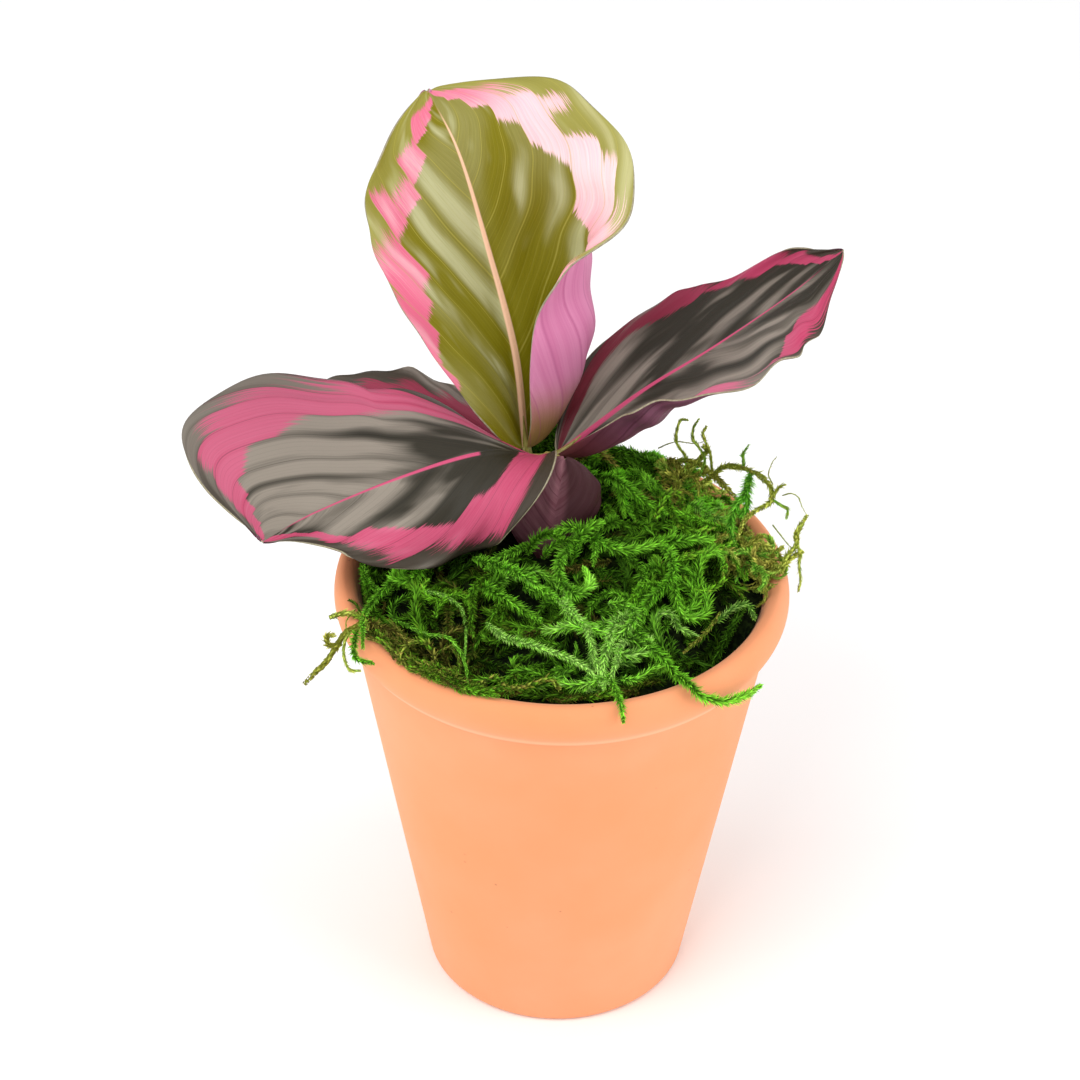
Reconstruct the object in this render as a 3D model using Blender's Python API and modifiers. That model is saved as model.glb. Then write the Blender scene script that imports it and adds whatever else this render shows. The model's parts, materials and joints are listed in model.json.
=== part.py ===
"""Potted rose-painted calathea: construction model.

A young plant with five leaves stands in a tapered terracotta pot with a
rolled rim.  The pot is filled with potting soil around the root ball, and a
mound of sheet moss covers the soil.  Everything is one standing object at
rest: X to the right, Y away from the front, Z up, in metres.
"""

import math
from dataclasses import dataclass

import bmesh
import bpy
import numpy as np
from mathutils import Vector

MM = 0.001

# Driving dimensions, in millimetres.  Heights are above the surface that the
# pot stands on, and X and Y are measured from the pot's own axis.
POT_AXIS_X = 14.6        # the pot's axis, in the frame centred on the whole plant
POT_HEIGHT = 130.0
RIM_RADIUS = 60.0        # widest point of the rolled rim
NECK_RADIUS = 55.4       # corner under the rolled rim
NECK_HEIGHT = 116.5
LIP_RADIUS = 54.5        # inner edge of the rolled rim
FOOT_RADIUS = 36.0
WALL = 4.6
FLOOR = 7.0
DRAIN_RADIUS = 7.0
FOOT_RECESS = 2.0        # the underside is hollowed inside the foot ring
FOOT_RECESS_RADIUS = 22.0
GAP = 0.3                # between pieces that touch
SOIL_TOP = 116.0
CROWN_X = -4.0           # where the leaf stalks spring from
CROWN_Y = 12.0
ROOT_BALL_RADIUS = 24.0
ROOT_BALL_BOTTOM = 48.0
ROOT_BALL_TAPER = 6.0    # narrower by this at the bottom
CROWN_RADIUS = 7.0
CROWN_TOP = 127.0
MOSS_TOP = 144.0
MOSS_EDGE = 131.0
MOSS_RADIUS = 51.8
WELL_X = -3.0            # the moss is parted around the stalks
WELL_Y = 6.0
WELL_RADIUS = 15.5
BLADE_THICKNESS = 0.9
STALK_RING = 4.2         # the stalks stand in a ring of this radius on the crown
STALK_TAPER = 0.35       # share of its radius that a stalk loses on the way up
STALK_STEPS = 8
ROUND_STEPS = 48


@dataclass(frozen=True)
class Leaf:
    """One leaf: its blade is a sheet swept along a curved midrib.

    midrib holds points from the stalk to the tip, and face the direction that
    the upper side looks in.  Each half has its width, the slope at which it
    leaves the midrib and the angle it then curls through, in degrees, as
    evenly spaced values from base to tip.  roll gives the part of the half
    width in which the curl happens.
    """

    name: str
    stalk: str
    midrib: tuple
    face: tuple
    half_left: tuple
    half_right: tuple
    rise_left: tuple
    rise_right: tuple
    curl_left: tuple
    curl_right: tuple
    fullness: tuple
    roll: tuple
    foot_angle: float
    stalk_radius: float
    stations: int = 22
    strips: int = 7


LEAVES = (
    Leaf(
        name="tall_leaf_blade", stalk="tall_leaf_stalk",
        midrib=((-9.9, 17.4, 157.6), (-13, 18.6, 185.8), (-20.4, 26.5, 212.4),
                (-27.8, 29.8, 237.8), (-35.5, 34, 252.4)),
        face=((0.46, -0.87, 0.19), (0.2, -0.98, 0.01), (0.07, -0.99, 0.07), (0.28, -0.93, 0.25)),
        half_left=(17, 24.5, 29, 31), half_right=(40, 53, 50, 27),
        rise_left=(18, 12, 3, 1), rise_right=(-21, -7, -8, -20),
        curl_left=(10, 3, 3, 17), curl_right=(209, 160, 50, -35),
        fullness=(0.5, 0.6), roll=(0.15, 0.8), foot_angle=100, stalk_radius=2.0),
    Leaf(
        name="front_left_leaf_blade", stalk="front_left_leaf_stalk",
        midrib=((-4.4, 7, 161.7), (-20, 4.3, 164.4), (-40.9, -0.8, 160),
                (-63.7, -8.4, 153.2), (-75.4, -24.7, 155.7)),
        face=((0.16, 0.02, 0.98), (0.34, -0.3, 0.89), (0.12, -0.07, 0.99), (-0.11, -0.51, 0.85)),
        half_left=(42, 31, 27, 19, 4), half_right=(5, 26, 47, 59, 47),
        rise_left=(44, 8, -9, -4, -3), rise_right=(-31, -18, -9, 4, 4),
        curl_left=(-1, -80, -74, -14, 23), curl_right=(-105, -62, -25, 5, -8),
        fullness=(0.4, 0.55), roll=(0.15, 1.15), foot_angle=232, stalk_radius=1.9),
    Leaf(
        name="back_left_leaf_blade", stalk="back_left_leaf_stalk",
        midrib=((-14, 19.5, 148), (-23, 27.5, 150.5), (-40, 34, 149.5), (-59, 37, 148.5), (-77, 38, 148.5)),
        face=((0.1, -0.5, 0.86), (0, -0.45, 0.9), (0, -0.4, 0.9)),
        half_left=(12, 13, 13, 12), half_right=(14, 14.3, 20.5, 25),
        rise_left=(-12, -8, -4, 0), rise_right=(22, 14, 2, 0),
        curl_left=(0, 0, 0, 0), curl_right=(0, 0, 0, 0),
        fullness=(0.6, 0.6), roll=(0.0, 1.0), foot_angle=178, stalk_radius=1.5),
    Leaf(
        name="right_leaf_blade", stalk="right_leaf_stalk",
        midrib=((-1.4, 14.8, 157), (19.2, 17.7, 174.7), (37.9, 18.2, 188.8),
                (56.7, 22.7, 201.8), (69.3, 21.8, 215.4)),
        face=((-0.54, -0.37, 0.76), (-0.68, 0.08, 0.73), (-0.87, 0.02, 0.48), (-0.73, -0.06, 0.69)),
        half_left=(26, 28, 23, 8), half_right=(35, 33, 29, 15),
        rise_left=(17, 11, 10, 14), rise_right=(-46, -20, -7, 4),
        curl_left=(29, 16, 12, 31), curl_right=(176, 70, 0, -52),
        fullness=(0.65, 0.6), roll=(0.1, 0.9), foot_angle=20, stalk_radius=1.7),
    Leaf(
        name="small_front_leaf_blade", stalk="small_front_leaf_stalk",
        midrib=((-4.6, -5.5, 136.5), (-3, -3.4, 144.8), (-1.4, -0.6, 155), (0.2, 0.6, 165.2)),
        face=((0, 0.9, 0.4), (0, 0.9, 0.1), (0, 0.9, 0.1)),
        half_left=(6, 15, 11), half_right=(12, 17, 13),
        rise_left=(15, 10, 5), rise_right=(15, 10, 5),
        curl_left=(60, 50, 30), curl_right=(40, 40, 20),
        fullness=(0.4, 0.55), roll=(0.0, 1.0), foot_angle=295, stalk_radius=1.4,
        stations=14, strips=5),
)


def clear_scene():
    """Remove whatever the file opened with."""
    for item in list(bpy.data.objects):
        bpy.data.objects.remove(item, do_unlink=True)


def collection(name):
    """A new collection linked to the scene."""
    made = bpy.data.collections.new(name)
    bpy.context.scene.collection.children.link(made)
    return made


def material(name, colour, roughness):
    """A plain Principled material."""
    made = bpy.data.materials.new(name)
    made.use_nodes = True
    shader = made.node_tree.nodes["Principled BSDF"]
    shader.inputs["Base Color"].default_value = (*colour, 1.0)
    shader.inputs["Roughness"].default_value = roughness
    shader.inputs["Metallic"].default_value = 0.0
    return made


def place(name, data, group, finish):
    """Put a mesh or curve in the scene on the pot's axis."""
    item = bpy.data.objects.new(name, data)
    item.location = (POT_AXIS_X * MM, 0.0, 0.0)
    group.objects.link(item)
    item.data.materials.append(finish)
    return item


def along(knots, t):
    """Smooth curve through evenly spaced knots, t from 0 to 1."""
    points = np.asarray(knots, float)
    if len(points) == 2:
        return points[0] + (points[1] - points[0]) * t
    last = len(points) - 1
    ends = [2 * points[0] - points[1], *points, 2 * points[-1] - points[-2]]
    place_in = min(max(t, 0.0), 1.0) * last
    i = min(int(place_in), last - 1)
    f = place_in - i
    a, b, c, d = ends[i], ends[i + 1], ends[i + 2], ends[i + 3]
    return 0.5 * (2 * b + (c - a) * f + (2 * a - 5 * b + 4 * c - d) * f ** 2
                  + (3 * b - a - 3 * c + d) * f ** 3)


def unit(vector):
    """The vector at length one."""
    return vector / np.linalg.norm(vector)


def turned(name, profile, group, finish, steps=ROUND_STEPS, centre=(0.0, 0.0)):
    """Turn a closed profile of (radius, height) points about a vertical axis.

    Points on the axis make the poles.  The profile runs down the outside.
    """
    mesh = bpy.data.meshes.new(name)
    shape = bmesh.new()
    rim = [shape.verts.new((radius * MM, 0.0, height * MM)) for radius, height in profile]
    for first, second in zip(rim, rim[1:]):
        shape.edges.new((first, second))
    if profile[0][0] > 0:
        shape.edges.new((rim[-1], rim[0]))
    shape.to_mesh(mesh)
    shape.free()
    item = place(name, mesh, group, finish)
    item.location.x += centre[0] * MM
    item.location.y += centre[1] * MM
    screw = item.modifiers.new("Turn", "SCREW")
    screw.axis = "Z"
    screw.steps = steps
    screw.render_steps = steps
    screw.use_merge_vertices = True
    screw.merge_threshold = 0.00002
    screw.use_smooth_shade = True
    return item


def wall_radius(height):
    """Outer radius of the tapered wall at a height."""
    return FOOT_RADIUS + (NECK_RADIUS - FOOT_RADIUS) * height / NECK_HEIGHT


def inner_radius(height):
    """Inner radius of the tapered wall at a height."""
    return wall_radius(height) - WALL


def arc(centre, radii, start, end, steps):
    """Points on an ellipse quarter between two angles in degrees."""
    angles = [math.radians(start + (end - start) * i / steps) for i in range(steps + 1)]
    return [(centre[0] + radii[0] * math.cos(a), centre[1] + radii[1] * math.sin(a)) for a in angles]


def build_pot(group, finish):
    """Tapered clay pot with a rolled rim, a foot ring and a drainage hole."""
    crown = RIM_RADIUS - 3.0
    roll_height = POT_HEIGHT - 5.5
    profile = arc((crown, roll_height), (RIM_RADIUS - crown, POT_HEIGHT - roll_height), 90, 0, 4)
    profile += arc((NECK_RADIUS, roll_height), (RIM_RADIUS - NECK_RADIUS, roll_height - NECK_HEIGHT),
                   0, -90, 4)[1:]
    profile += [(wall_radius(height), height) for height in (80.0, 40.0, 6.0)]
    profile += [(wall_radius(1.2), 1.5), (FOOT_RADIUS - 1.5, 0.0)]
    profile += [(FOOT_RECESS_RADIUS, 0.0), (FOOT_RECESS_RADIUS - 1.5, FOOT_RECESS)]
    profile += [(DRAIN_RADIUS, FOOT_RECESS), (DRAIN_RADIUS, FLOOR)]
    profile += [(inner_radius(FLOOR) - 3.0, FLOOR), (inner_radius(FLOOR + 3.0), FLOOR + 3.0)]
    profile += [(inner_radius(height), height) for height in (40.0, 80.0)]
    for height in (NECK_HEIGHT, NECK_HEIGHT + 6.0, POT_HEIGHT - 3.0, POT_HEIGHT - 0.8):
        profile.append((pot_bore(height), height))
    return turned("terracotta_pot", profile, group, finish, steps=64)


def build_soil(group, finish):
    """Potting soil that fills the pot and keeps a pocket for the root ball."""
    pocket = ROOT_BALL_RADIUS + GAP
    profile = [(inner_radius(SOIL_TOP) - GAP, SOIL_TOP)]
    profile += [(inner_radius(height) - GAP, height) for height in (80.0, 40.0)]
    profile += [(inner_radius(FLOOR + 3.0) - GAP, FLOOR + 3.3)]
    profile += [(inner_radius(FLOOR) - 3.4, FLOOR + GAP), (0.0, FLOOR + GAP)]
    outer = turned("potting_soil", [(0.0, SOIL_TOP), *profile], group, finish)
    return outer, [(0.0, SOIL_TOP + 5.0), (pocket, SOIL_TOP + 5.0), (pocket, SOIL_TOP - 8.0),
                   (pocket - ROOT_BALL_TAPER, ROOT_BALL_BOTTOM - GAP), (0.0, ROOT_BALL_BOTTOM - GAP)]


def build_root_ball(group, finish):
    """The young plant's own tapered plug of peat bound by its roots."""
    foot = ROOT_BALL_RADIUS - ROOT_BALL_TAPER
    profile = [(0.0, SOIL_TOP), (ROOT_BALL_RADIUS - 2.0, SOIL_TOP), (ROOT_BALL_RADIUS, SOIL_TOP - 2.0),
               (ROOT_BALL_RADIUS, SOIL_TOP - 8.0), (foot, ROOT_BALL_BOTTOM + 3.0),
               (foot - 3.0, ROOT_BALL_BOTTOM), (0.0, ROOT_BALL_BOTTOM)]
    return turned("root_ball", profile, group, finish, steps=32, centre=(CROWN_X, CROWN_Y))


def build_crown(group, finish):
    """The short rhizome head at the soil line, from which the stalks rise."""
    bottom = SOIL_TOP + GAP
    profile = [(0.0, CROWN_TOP), (CROWN_RADIUS - 0.8, CROWN_TOP), (CROWN_RADIUS, CROWN_TOP - 1.5),
               (CROWN_RADIUS + 0.6, bottom + 4.0), (CROWN_RADIUS - 1.5, bottom), (0.0, bottom)]
    return turned("rhizome_crown", profile, group, finish, steps=24, centre=(CROWN_X, CROWN_Y))


def pot_bore(height):
    """Radius of the pot's opening at a height above the neck."""
    heights = (0.0, NECK_HEIGHT, NECK_HEIGHT + 6.0, POT_HEIGHT - 3.0, POT_HEIGHT - 0.8)
    radii = (inner_radius(0.0), inner_radius(NECK_HEIGHT), inner_radius(NECK_HEIGHT) + 0.6,
             LIP_RADIUS - 0.8, LIP_RADIUS + 0.6)
    return float(np.interp(height, heights, radii))


def mound_height(x, y):
    """Height of the moss surface over a point measured from the pot's axis."""
    reach = min(math.hypot(x, y) / MOSS_RADIUS, 1.0)
    dome = MOSS_EDGE + (MOSS_TOP - MOSS_EDGE) * (1.0 - reach ** 2.2)
    lumps = math.sin(0.21 * x + 0.6) * math.cos(0.19 * y) + 0.6 * math.sin(0.33 * y - 0.25 * x)
    back = 5.0 * math.exp(-((x - 16.0) ** 2 + (y - 36.0) ** 2) / 260.0)
    hollow = 8.0 * math.exp(-((x - 40.0) ** 2 + (y + 28.0) ** 2) / 130.0)
    return dome + 1.1 * lumps * (1.0 - reach ** 4) + back - hollow


def build_moss(group, finish):
    """Mound of sheet moss over the soil, parted around the stalks."""
    bottom = SOIL_TOP + GAP
    mesh = bpy.data.meshes.new("moss_bed")
    shape = bmesh.new()
    bmesh.ops.create_cone(shape, cap_ends=True, cap_tris=False, segments=40,
                          radius1=(inner_radius(bottom) - 2 * GAP) * MM, radius2=MOSS_RADIUS * MM,
                          depth=(MOSS_EDGE - bottom) * MM)
    bmesh.ops.translate(shape, vec=(0, 0, (MOSS_EDGE + bottom) / 2 * MM), verts=shape.verts)
    top = max(shape.faces, key=lambda face: face.calc_center_median().z)
    rings = (0.90, 0.76, 0.60, 0.42, 0.22)
    reach = 1.0
    for ring in rings:
        bmesh.ops.inset_region(shape, faces=[top], thickness=(reach - ring) * MOSS_RADIUS * MM,
                               use_even_offset=True)
        reach = ring
    bmesh.ops.poke(shape, faces=[top])
    for vert in shape.verts:
        if vert.co.z < (bottom + 1.0) * MM:
            continue
        vert.co.z = mound_height(vert.co.x / MM, vert.co.y / MM) * MM
        if vert.co.xy.length > (MOSS_RADIUS - 1.0) * MM:
            limit = min(MOSS_RADIUS, 0.998 * pot_bore(vert.co.z / MM) - 2 * GAP)
            vert.co.xy *= limit * MM / vert.co.xy.length
    shape.to_mesh(mesh)
    shape.free()
    return place("moss_bed", mesh, group, finish)


def cut(item, cutter):
    """Cut one solid out of another and remove nothing else."""
    cutter.hide_render = True
    cutter.display_type = "WIRE"
    knife = item.modifiers.new("Cut", "BOOLEAN")
    knife.operation = "DIFFERENCE"
    knife.solver = "EXACT"
    knife.object = cutter


def half_widths(leaf, side, t):
    """Half width of the blade at a station, without its waves."""
    full = leaf.half_left if side < 0 else leaf.half_right
    fullness = leaf.fullness[0] + (leaf.fullness[1] - leaf.fullness[0]) * t
    return along(full, t) * math.sin(math.pi * t) ** fullness


def half_section(leaf, side, t, strips):
    """Offsets across and above the midrib, from the midrib to the margin."""
    rise = math.radians(along(leaf.rise_left if side < 0 else leaf.rise_right, t))
    curl = math.radians(along(leaf.curl_left if side < 0 else leaf.curl_right, t))
    width = half_widths(leaf, side, t)
    fine = 4
    across = above = 0.0
    points = [(0.0, 0.0)]
    for i in range(strips * fine):
        v = (i + 0.5) / (strips * fine)
        share = min(max((v - leaf.roll[0]) / (leaf.roll[1] - leaf.roll[0]), 0.0), 1.0)
        angle = rise + curl * share * share * (3.0 - 2.0 * share)
        across += math.cos(angle) * width / (strips * fine)
        above += math.sin(angle) * width / (strips * fine)
        if (i + 1) % fine == 0:
            points.append((across, above))
    return points


def blade_frame(leaf, t):
    """Point on the midrib, with the blade's side and face directions."""
    step = 0.001
    point = along(leaf.midrib, t)
    tangent = unit(along(leaf.midrib, min(t + step, 1.0)) - along(leaf.midrib, max(t - step, 0.0)))
    face = along(leaf.face, t)
    face = unit(face - tangent * float(np.dot(face, tangent)))
    return point, np.cross(tangent, face), face


def station(leaf, index):
    """Place along the midrib of one row of points, closer together at the ends."""
    return 0.5 - 0.492 * math.cos(math.pi * index / leaf.stations)


def build_blade(leaf, group, finish):
    """A blade: rows of points across the leaf, lofted into a thick sheet."""
    mesh = bpy.data.meshes.new(leaf.name)
    shape = bmesh.new()
    rows = []
    for i in range(leaf.stations + 1):
        t = station(leaf, i)
        point, side, face = blade_frame(leaf, t)
        left = half_section(leaf, -1, t, leaf.strips)
        right = half_section(leaf, 1, t, leaf.strips)
        row = [point - side * across + face * above for across, above in reversed(left)]
        row += [point + side * across + face * above for across, above in right[1:]]
        rows.append([shape.verts.new(Vector(place_at) * MM) for place_at in row])
    for near, far in zip(rows, rows[1:]):
        for j in range(len(near) - 1):
            shape.faces.new((near[j], near[j + 1], far[j + 1], far[j]))
    bmesh.ops.recalc_face_normals(shape, faces=shape.faces)
    shape.to_mesh(mesh)
    shape.free()
    item = place(leaf.name, mesh, group, finish)
    thick = item.modifiers.new("Thickness", "SOLIDIFY")
    thick.thickness = BLADE_THICKNESS * MM
    thick.offset = 0.0
    item.data.shade_smooth()
    return item


def tube(name, points, radii, group, finish, resolution=2):
    """A round stem through points, each with its own radius."""
    curve = bpy.data.curves.new(name, "CURVE")
    curve.dimensions = "3D"
    curve.bevel_depth = MM
    curve.bevel_resolution = resolution
    curve.use_fill_caps = True
    spline = curve.splines.new("POLY")
    spline.points.add(len(points) - 1)
    for knot, point, radius in zip(spline.points, points, radii):
        knot.co = (*(Vector(point) * MM), 1.0)
        knot.radius = radius
    spline.use_smooth = True
    return place(name, curve, group, finish)


def build_stalk(leaf, group, finish):
    """A leaf stalk from the flat top of the crown to just short of its blade."""
    angle = math.radians(leaf.foot_angle)
    foot = np.array((CROWN_X + STALK_RING * math.cos(angle), CROWN_Y + STALK_RING * math.sin(angle),
                     CROWN_TOP + GAP))
    base, side, face = blade_frame(leaf, station(leaf, 0))
    toward = np.cross(face, side)
    end = base - toward * 1.2 * GAP
    lift = float(end[2] - foot[2])
    upright = np.array((0.0, 0.0, 1.0))
    bend = foot + upright * 0.35 * lift
    lead = end - toward * 0.3 * lift
    points = [foot, foot + upright]
    for i in range(1, STALK_STEPS):
        t = i / STALK_STEPS
        points.append((1 - t) ** 3 * foot + 3 * t * (1 - t) ** 2 * bend
                      + 3 * t * t * (1 - t) * lead + t ** 3 * end)
    points += [end - toward, end]
    last = len(points) - 1
    radii = [leaf.stalk_radius * (1.0 - STALK_TAPER * i / last) for i in range(last + 1)]
    return tube(leaf.stalk, points, radii, group, finish)


def lay_on_moss(x, y, radius):
    """A point of a strand that lies on the moss surface."""
    return x, y, mound_height(x, y) + radius + 3 * GAP


def build_strands(group, green, dry):
    """Loose strands of moss that lie on the mound and reach past the rim."""
    start = [lay_on_moss(x, y, 1.3) for x, y in ((20, -26), (24, -31), (28, -37))]
    over = [(31, -43.5, 132.2), (33.2, -47.8, 132), (36, -51.5, 129.6), (39.5, -51.6, 126)]
    over += [(43, -48.6, 122.6), (46.5, -46.4, 120.6), (50, -43.6, 119.8)]
    tube("hanging_moss_strand", start + over, [1.3] * 7 + [1.2, 1.1, 0.9], group, green)

    start = [lay_on_moss(x, y, 1.0) for x, y in ((-38, -18), (-42, -20))]
    over = [(-47, -23, 134), (-51, -26.5, 133.6), (-55.5, -29.5, 131), (-58, -31.5, 125.5)]
    over += [(-61, -32, 119.9), (-65.5, -31.5, 114.2)]
    tube("dry_moss_frond_left", start + over, [1.0] * 4 + [1.1, 1.3, 1.2, 0.5], group, dry)

    start = [lay_on_moss(x, y, 1.0) for x, y in ((26, 18), (30, 20))]
    over = [(36, 22, 146), (41.9, 24, 151.5), (48, 24, 151), (53.3, 22, 146)]
    over += [(58, 19, 143.5), (61.8, 15, 142), (64, 11, 138), (64.2, 8.5, 132.6), (63.4, 7, 127.5)]
    tube("dry_moss_curl_right", start + over, [1.0] * 7 + [0.9, 0.8, 0.7, 0.5], group, dry)

    start = [lay_on_moss(x, y, 1.0) for x, y in ((16, 30), (21, 32))]
    over = [(27.9, 34, 149.5), (33.5, 34, 154), (37.5, 33, 155), (41.5, 32, 151.6), (43.9, 30, 146.5)]
    tube("dry_moss_curl_back", start + over, [1.0] * 5 + [0.8, 0.5], group, dry)


def main():
    """Build every piece of the potted plant."""
    clear_scene()
    group = collection("potted_calathea")
    cutters = collection("cutters")

    clay = material("terracotta", (0.80, 0.36, 0.18), 0.85)
    soil = material("potting_soil", (0.035, 0.022, 0.014), 1.0)
    roots = material("root_ball", (0.16, 0.10, 0.055), 1.0)
    moss = material("sheet_moss", (0.07, 0.24, 0.02), 0.95)
    dry = material("dry_moss", (0.28, 0.22, 0.06), 0.95)
    stem = material("leaf_stalk", (0.15, 0.17, 0.05), 0.5)
    young = material("young_leaf", (0.25, 0.24, 0.03), 0.4)
    mature = material("mature_leaf", (0.05, 0.045, 0.035), 0.35)

    build_pot(group, clay)
    earth, pocket = build_soil(group, soil)
    cut(earth, turned("soil_pocket", pocket, cutters, soil, steps=32, centre=(CROWN_X, CROWN_Y)))
    build_root_ball(group, roots)
    build_crown(group, stem)
    mound = build_moss(group, moss)
    well = [(0.0, MOSS_TOP + 12.0), (WELL_RADIUS, MOSS_TOP + 12.0), (WELL_RADIUS, SOIL_TOP - 5.0),
            (0.0, SOIL_TOP - 5.0)]
    cut(mound, turned("moss_well", well, cutters, moss, steps=24, centre=(WELL_X, WELL_Y)))
    build_strands(group, moss, dry)
    for leaf in LEAVES:
        build_blade(leaf, group, young if leaf.name == "tall_leaf_blade" else mature)
        build_stalk(leaf, group, stem)


main()
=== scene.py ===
"""Potted rose-painted calathea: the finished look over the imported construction.

The plant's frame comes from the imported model: X to the right, Y away from the
front, Z up, in metres.  Lengths in this file are millimetres unless a name says
otherwise, and they become metres where a mesh is made.
"""

import json
import logging
import math
from collections.abc import Callable, Iterator
from dataclasses import dataclass, field
from enum import Enum

import bmesh
import bpy
import numpy as np
from mathutils import Matrix, Vector, noise
from mathutils.kdtree import KDTree

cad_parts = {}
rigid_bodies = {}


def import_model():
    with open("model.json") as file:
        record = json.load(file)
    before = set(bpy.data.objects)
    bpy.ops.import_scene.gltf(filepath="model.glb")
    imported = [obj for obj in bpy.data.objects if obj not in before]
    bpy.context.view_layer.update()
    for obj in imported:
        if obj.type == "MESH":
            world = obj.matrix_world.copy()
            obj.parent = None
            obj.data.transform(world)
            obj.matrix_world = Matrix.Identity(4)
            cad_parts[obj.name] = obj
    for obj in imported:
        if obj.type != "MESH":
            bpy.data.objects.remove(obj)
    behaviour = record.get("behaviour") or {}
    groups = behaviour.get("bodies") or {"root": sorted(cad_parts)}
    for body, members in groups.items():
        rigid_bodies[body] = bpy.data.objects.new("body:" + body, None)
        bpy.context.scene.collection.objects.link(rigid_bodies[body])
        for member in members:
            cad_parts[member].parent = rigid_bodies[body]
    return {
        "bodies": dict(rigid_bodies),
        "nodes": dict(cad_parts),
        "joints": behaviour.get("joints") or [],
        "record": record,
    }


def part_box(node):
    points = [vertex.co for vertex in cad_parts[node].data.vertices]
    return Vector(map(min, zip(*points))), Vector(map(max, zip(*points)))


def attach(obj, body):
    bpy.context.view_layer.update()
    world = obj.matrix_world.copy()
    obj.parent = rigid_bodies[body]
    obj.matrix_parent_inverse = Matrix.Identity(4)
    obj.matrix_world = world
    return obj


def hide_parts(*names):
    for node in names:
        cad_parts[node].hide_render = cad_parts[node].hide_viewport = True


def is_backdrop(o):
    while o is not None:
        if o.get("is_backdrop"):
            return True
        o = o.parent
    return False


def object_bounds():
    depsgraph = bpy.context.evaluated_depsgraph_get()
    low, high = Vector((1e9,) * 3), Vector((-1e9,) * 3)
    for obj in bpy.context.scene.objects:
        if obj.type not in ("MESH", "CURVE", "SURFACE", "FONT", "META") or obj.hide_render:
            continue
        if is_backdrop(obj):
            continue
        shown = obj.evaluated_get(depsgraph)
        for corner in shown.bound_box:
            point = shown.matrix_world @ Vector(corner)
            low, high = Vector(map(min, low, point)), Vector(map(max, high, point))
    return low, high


MM = 0.001
HALF_SHIFT = 0.37  # A blade's right half has its veins this much further on than its left half.
GOLDEN_TURN = 2.39996  # Radians from one leaflet round a stem to the next.
LOG = logging.getLogger("calathea")
Colour = tuple[float, float, float, float]
Socket = bpy.types.NodeSocket


# ---------------------------------------------------------------- helpers


def linear(code: str) -> Colour:
    """Turn an sRGB hex colour into linear red, green, blue and alpha.

    Args:
        code: Six hex digits, without a hash sign.

    Returns:
        The colour with an alpha of one.
    """
    values = [int(code[i:i + 2], 16) / 255 for i in (0, 2, 4)]
    parts = [v / 12.92 if v <= 0.04045 else ((v + 0.055) / 1.055) ** 2.4 for v in values]
    return parts[0], parts[1], parts[2], 1.0


def add(tree: bpy.types.NodeTree, kind: str, inputs: dict | None = None, stops: tuple = (),
        **settings: object) -> bpy.types.Node:
    """Add a node, set it up and link what feeds it.

    Args:
        tree: The material's node tree.
        kind: The node's type name.
        inputs: Socket name or number to a value, a socket, or a node whose first output is used.
        stops: Places and colours of a colour ramp.
        settings: Properties of the node.

    Returns:
        The new node.
    """
    node = tree.nodes.new(kind)
    for name, value in settings.items():
        setattr(node, name, value)
    for key, value in (inputs or {}).items():
        if isinstance(value, bpy.types.Node):
            value = value.outputs[0]
        if isinstance(value, bpy.types.NodeSocket):
            tree.links.new(value, node.inputs[key])
        else:
            node.inputs[key].default_value = value
    for number, (place, colour) in enumerate(stops):
        elements = node.color_ramp.elements
        element = elements[number] if number < len(elements) else elements.new(place)
        element.position = place
        element.color = colour
    return node


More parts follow.
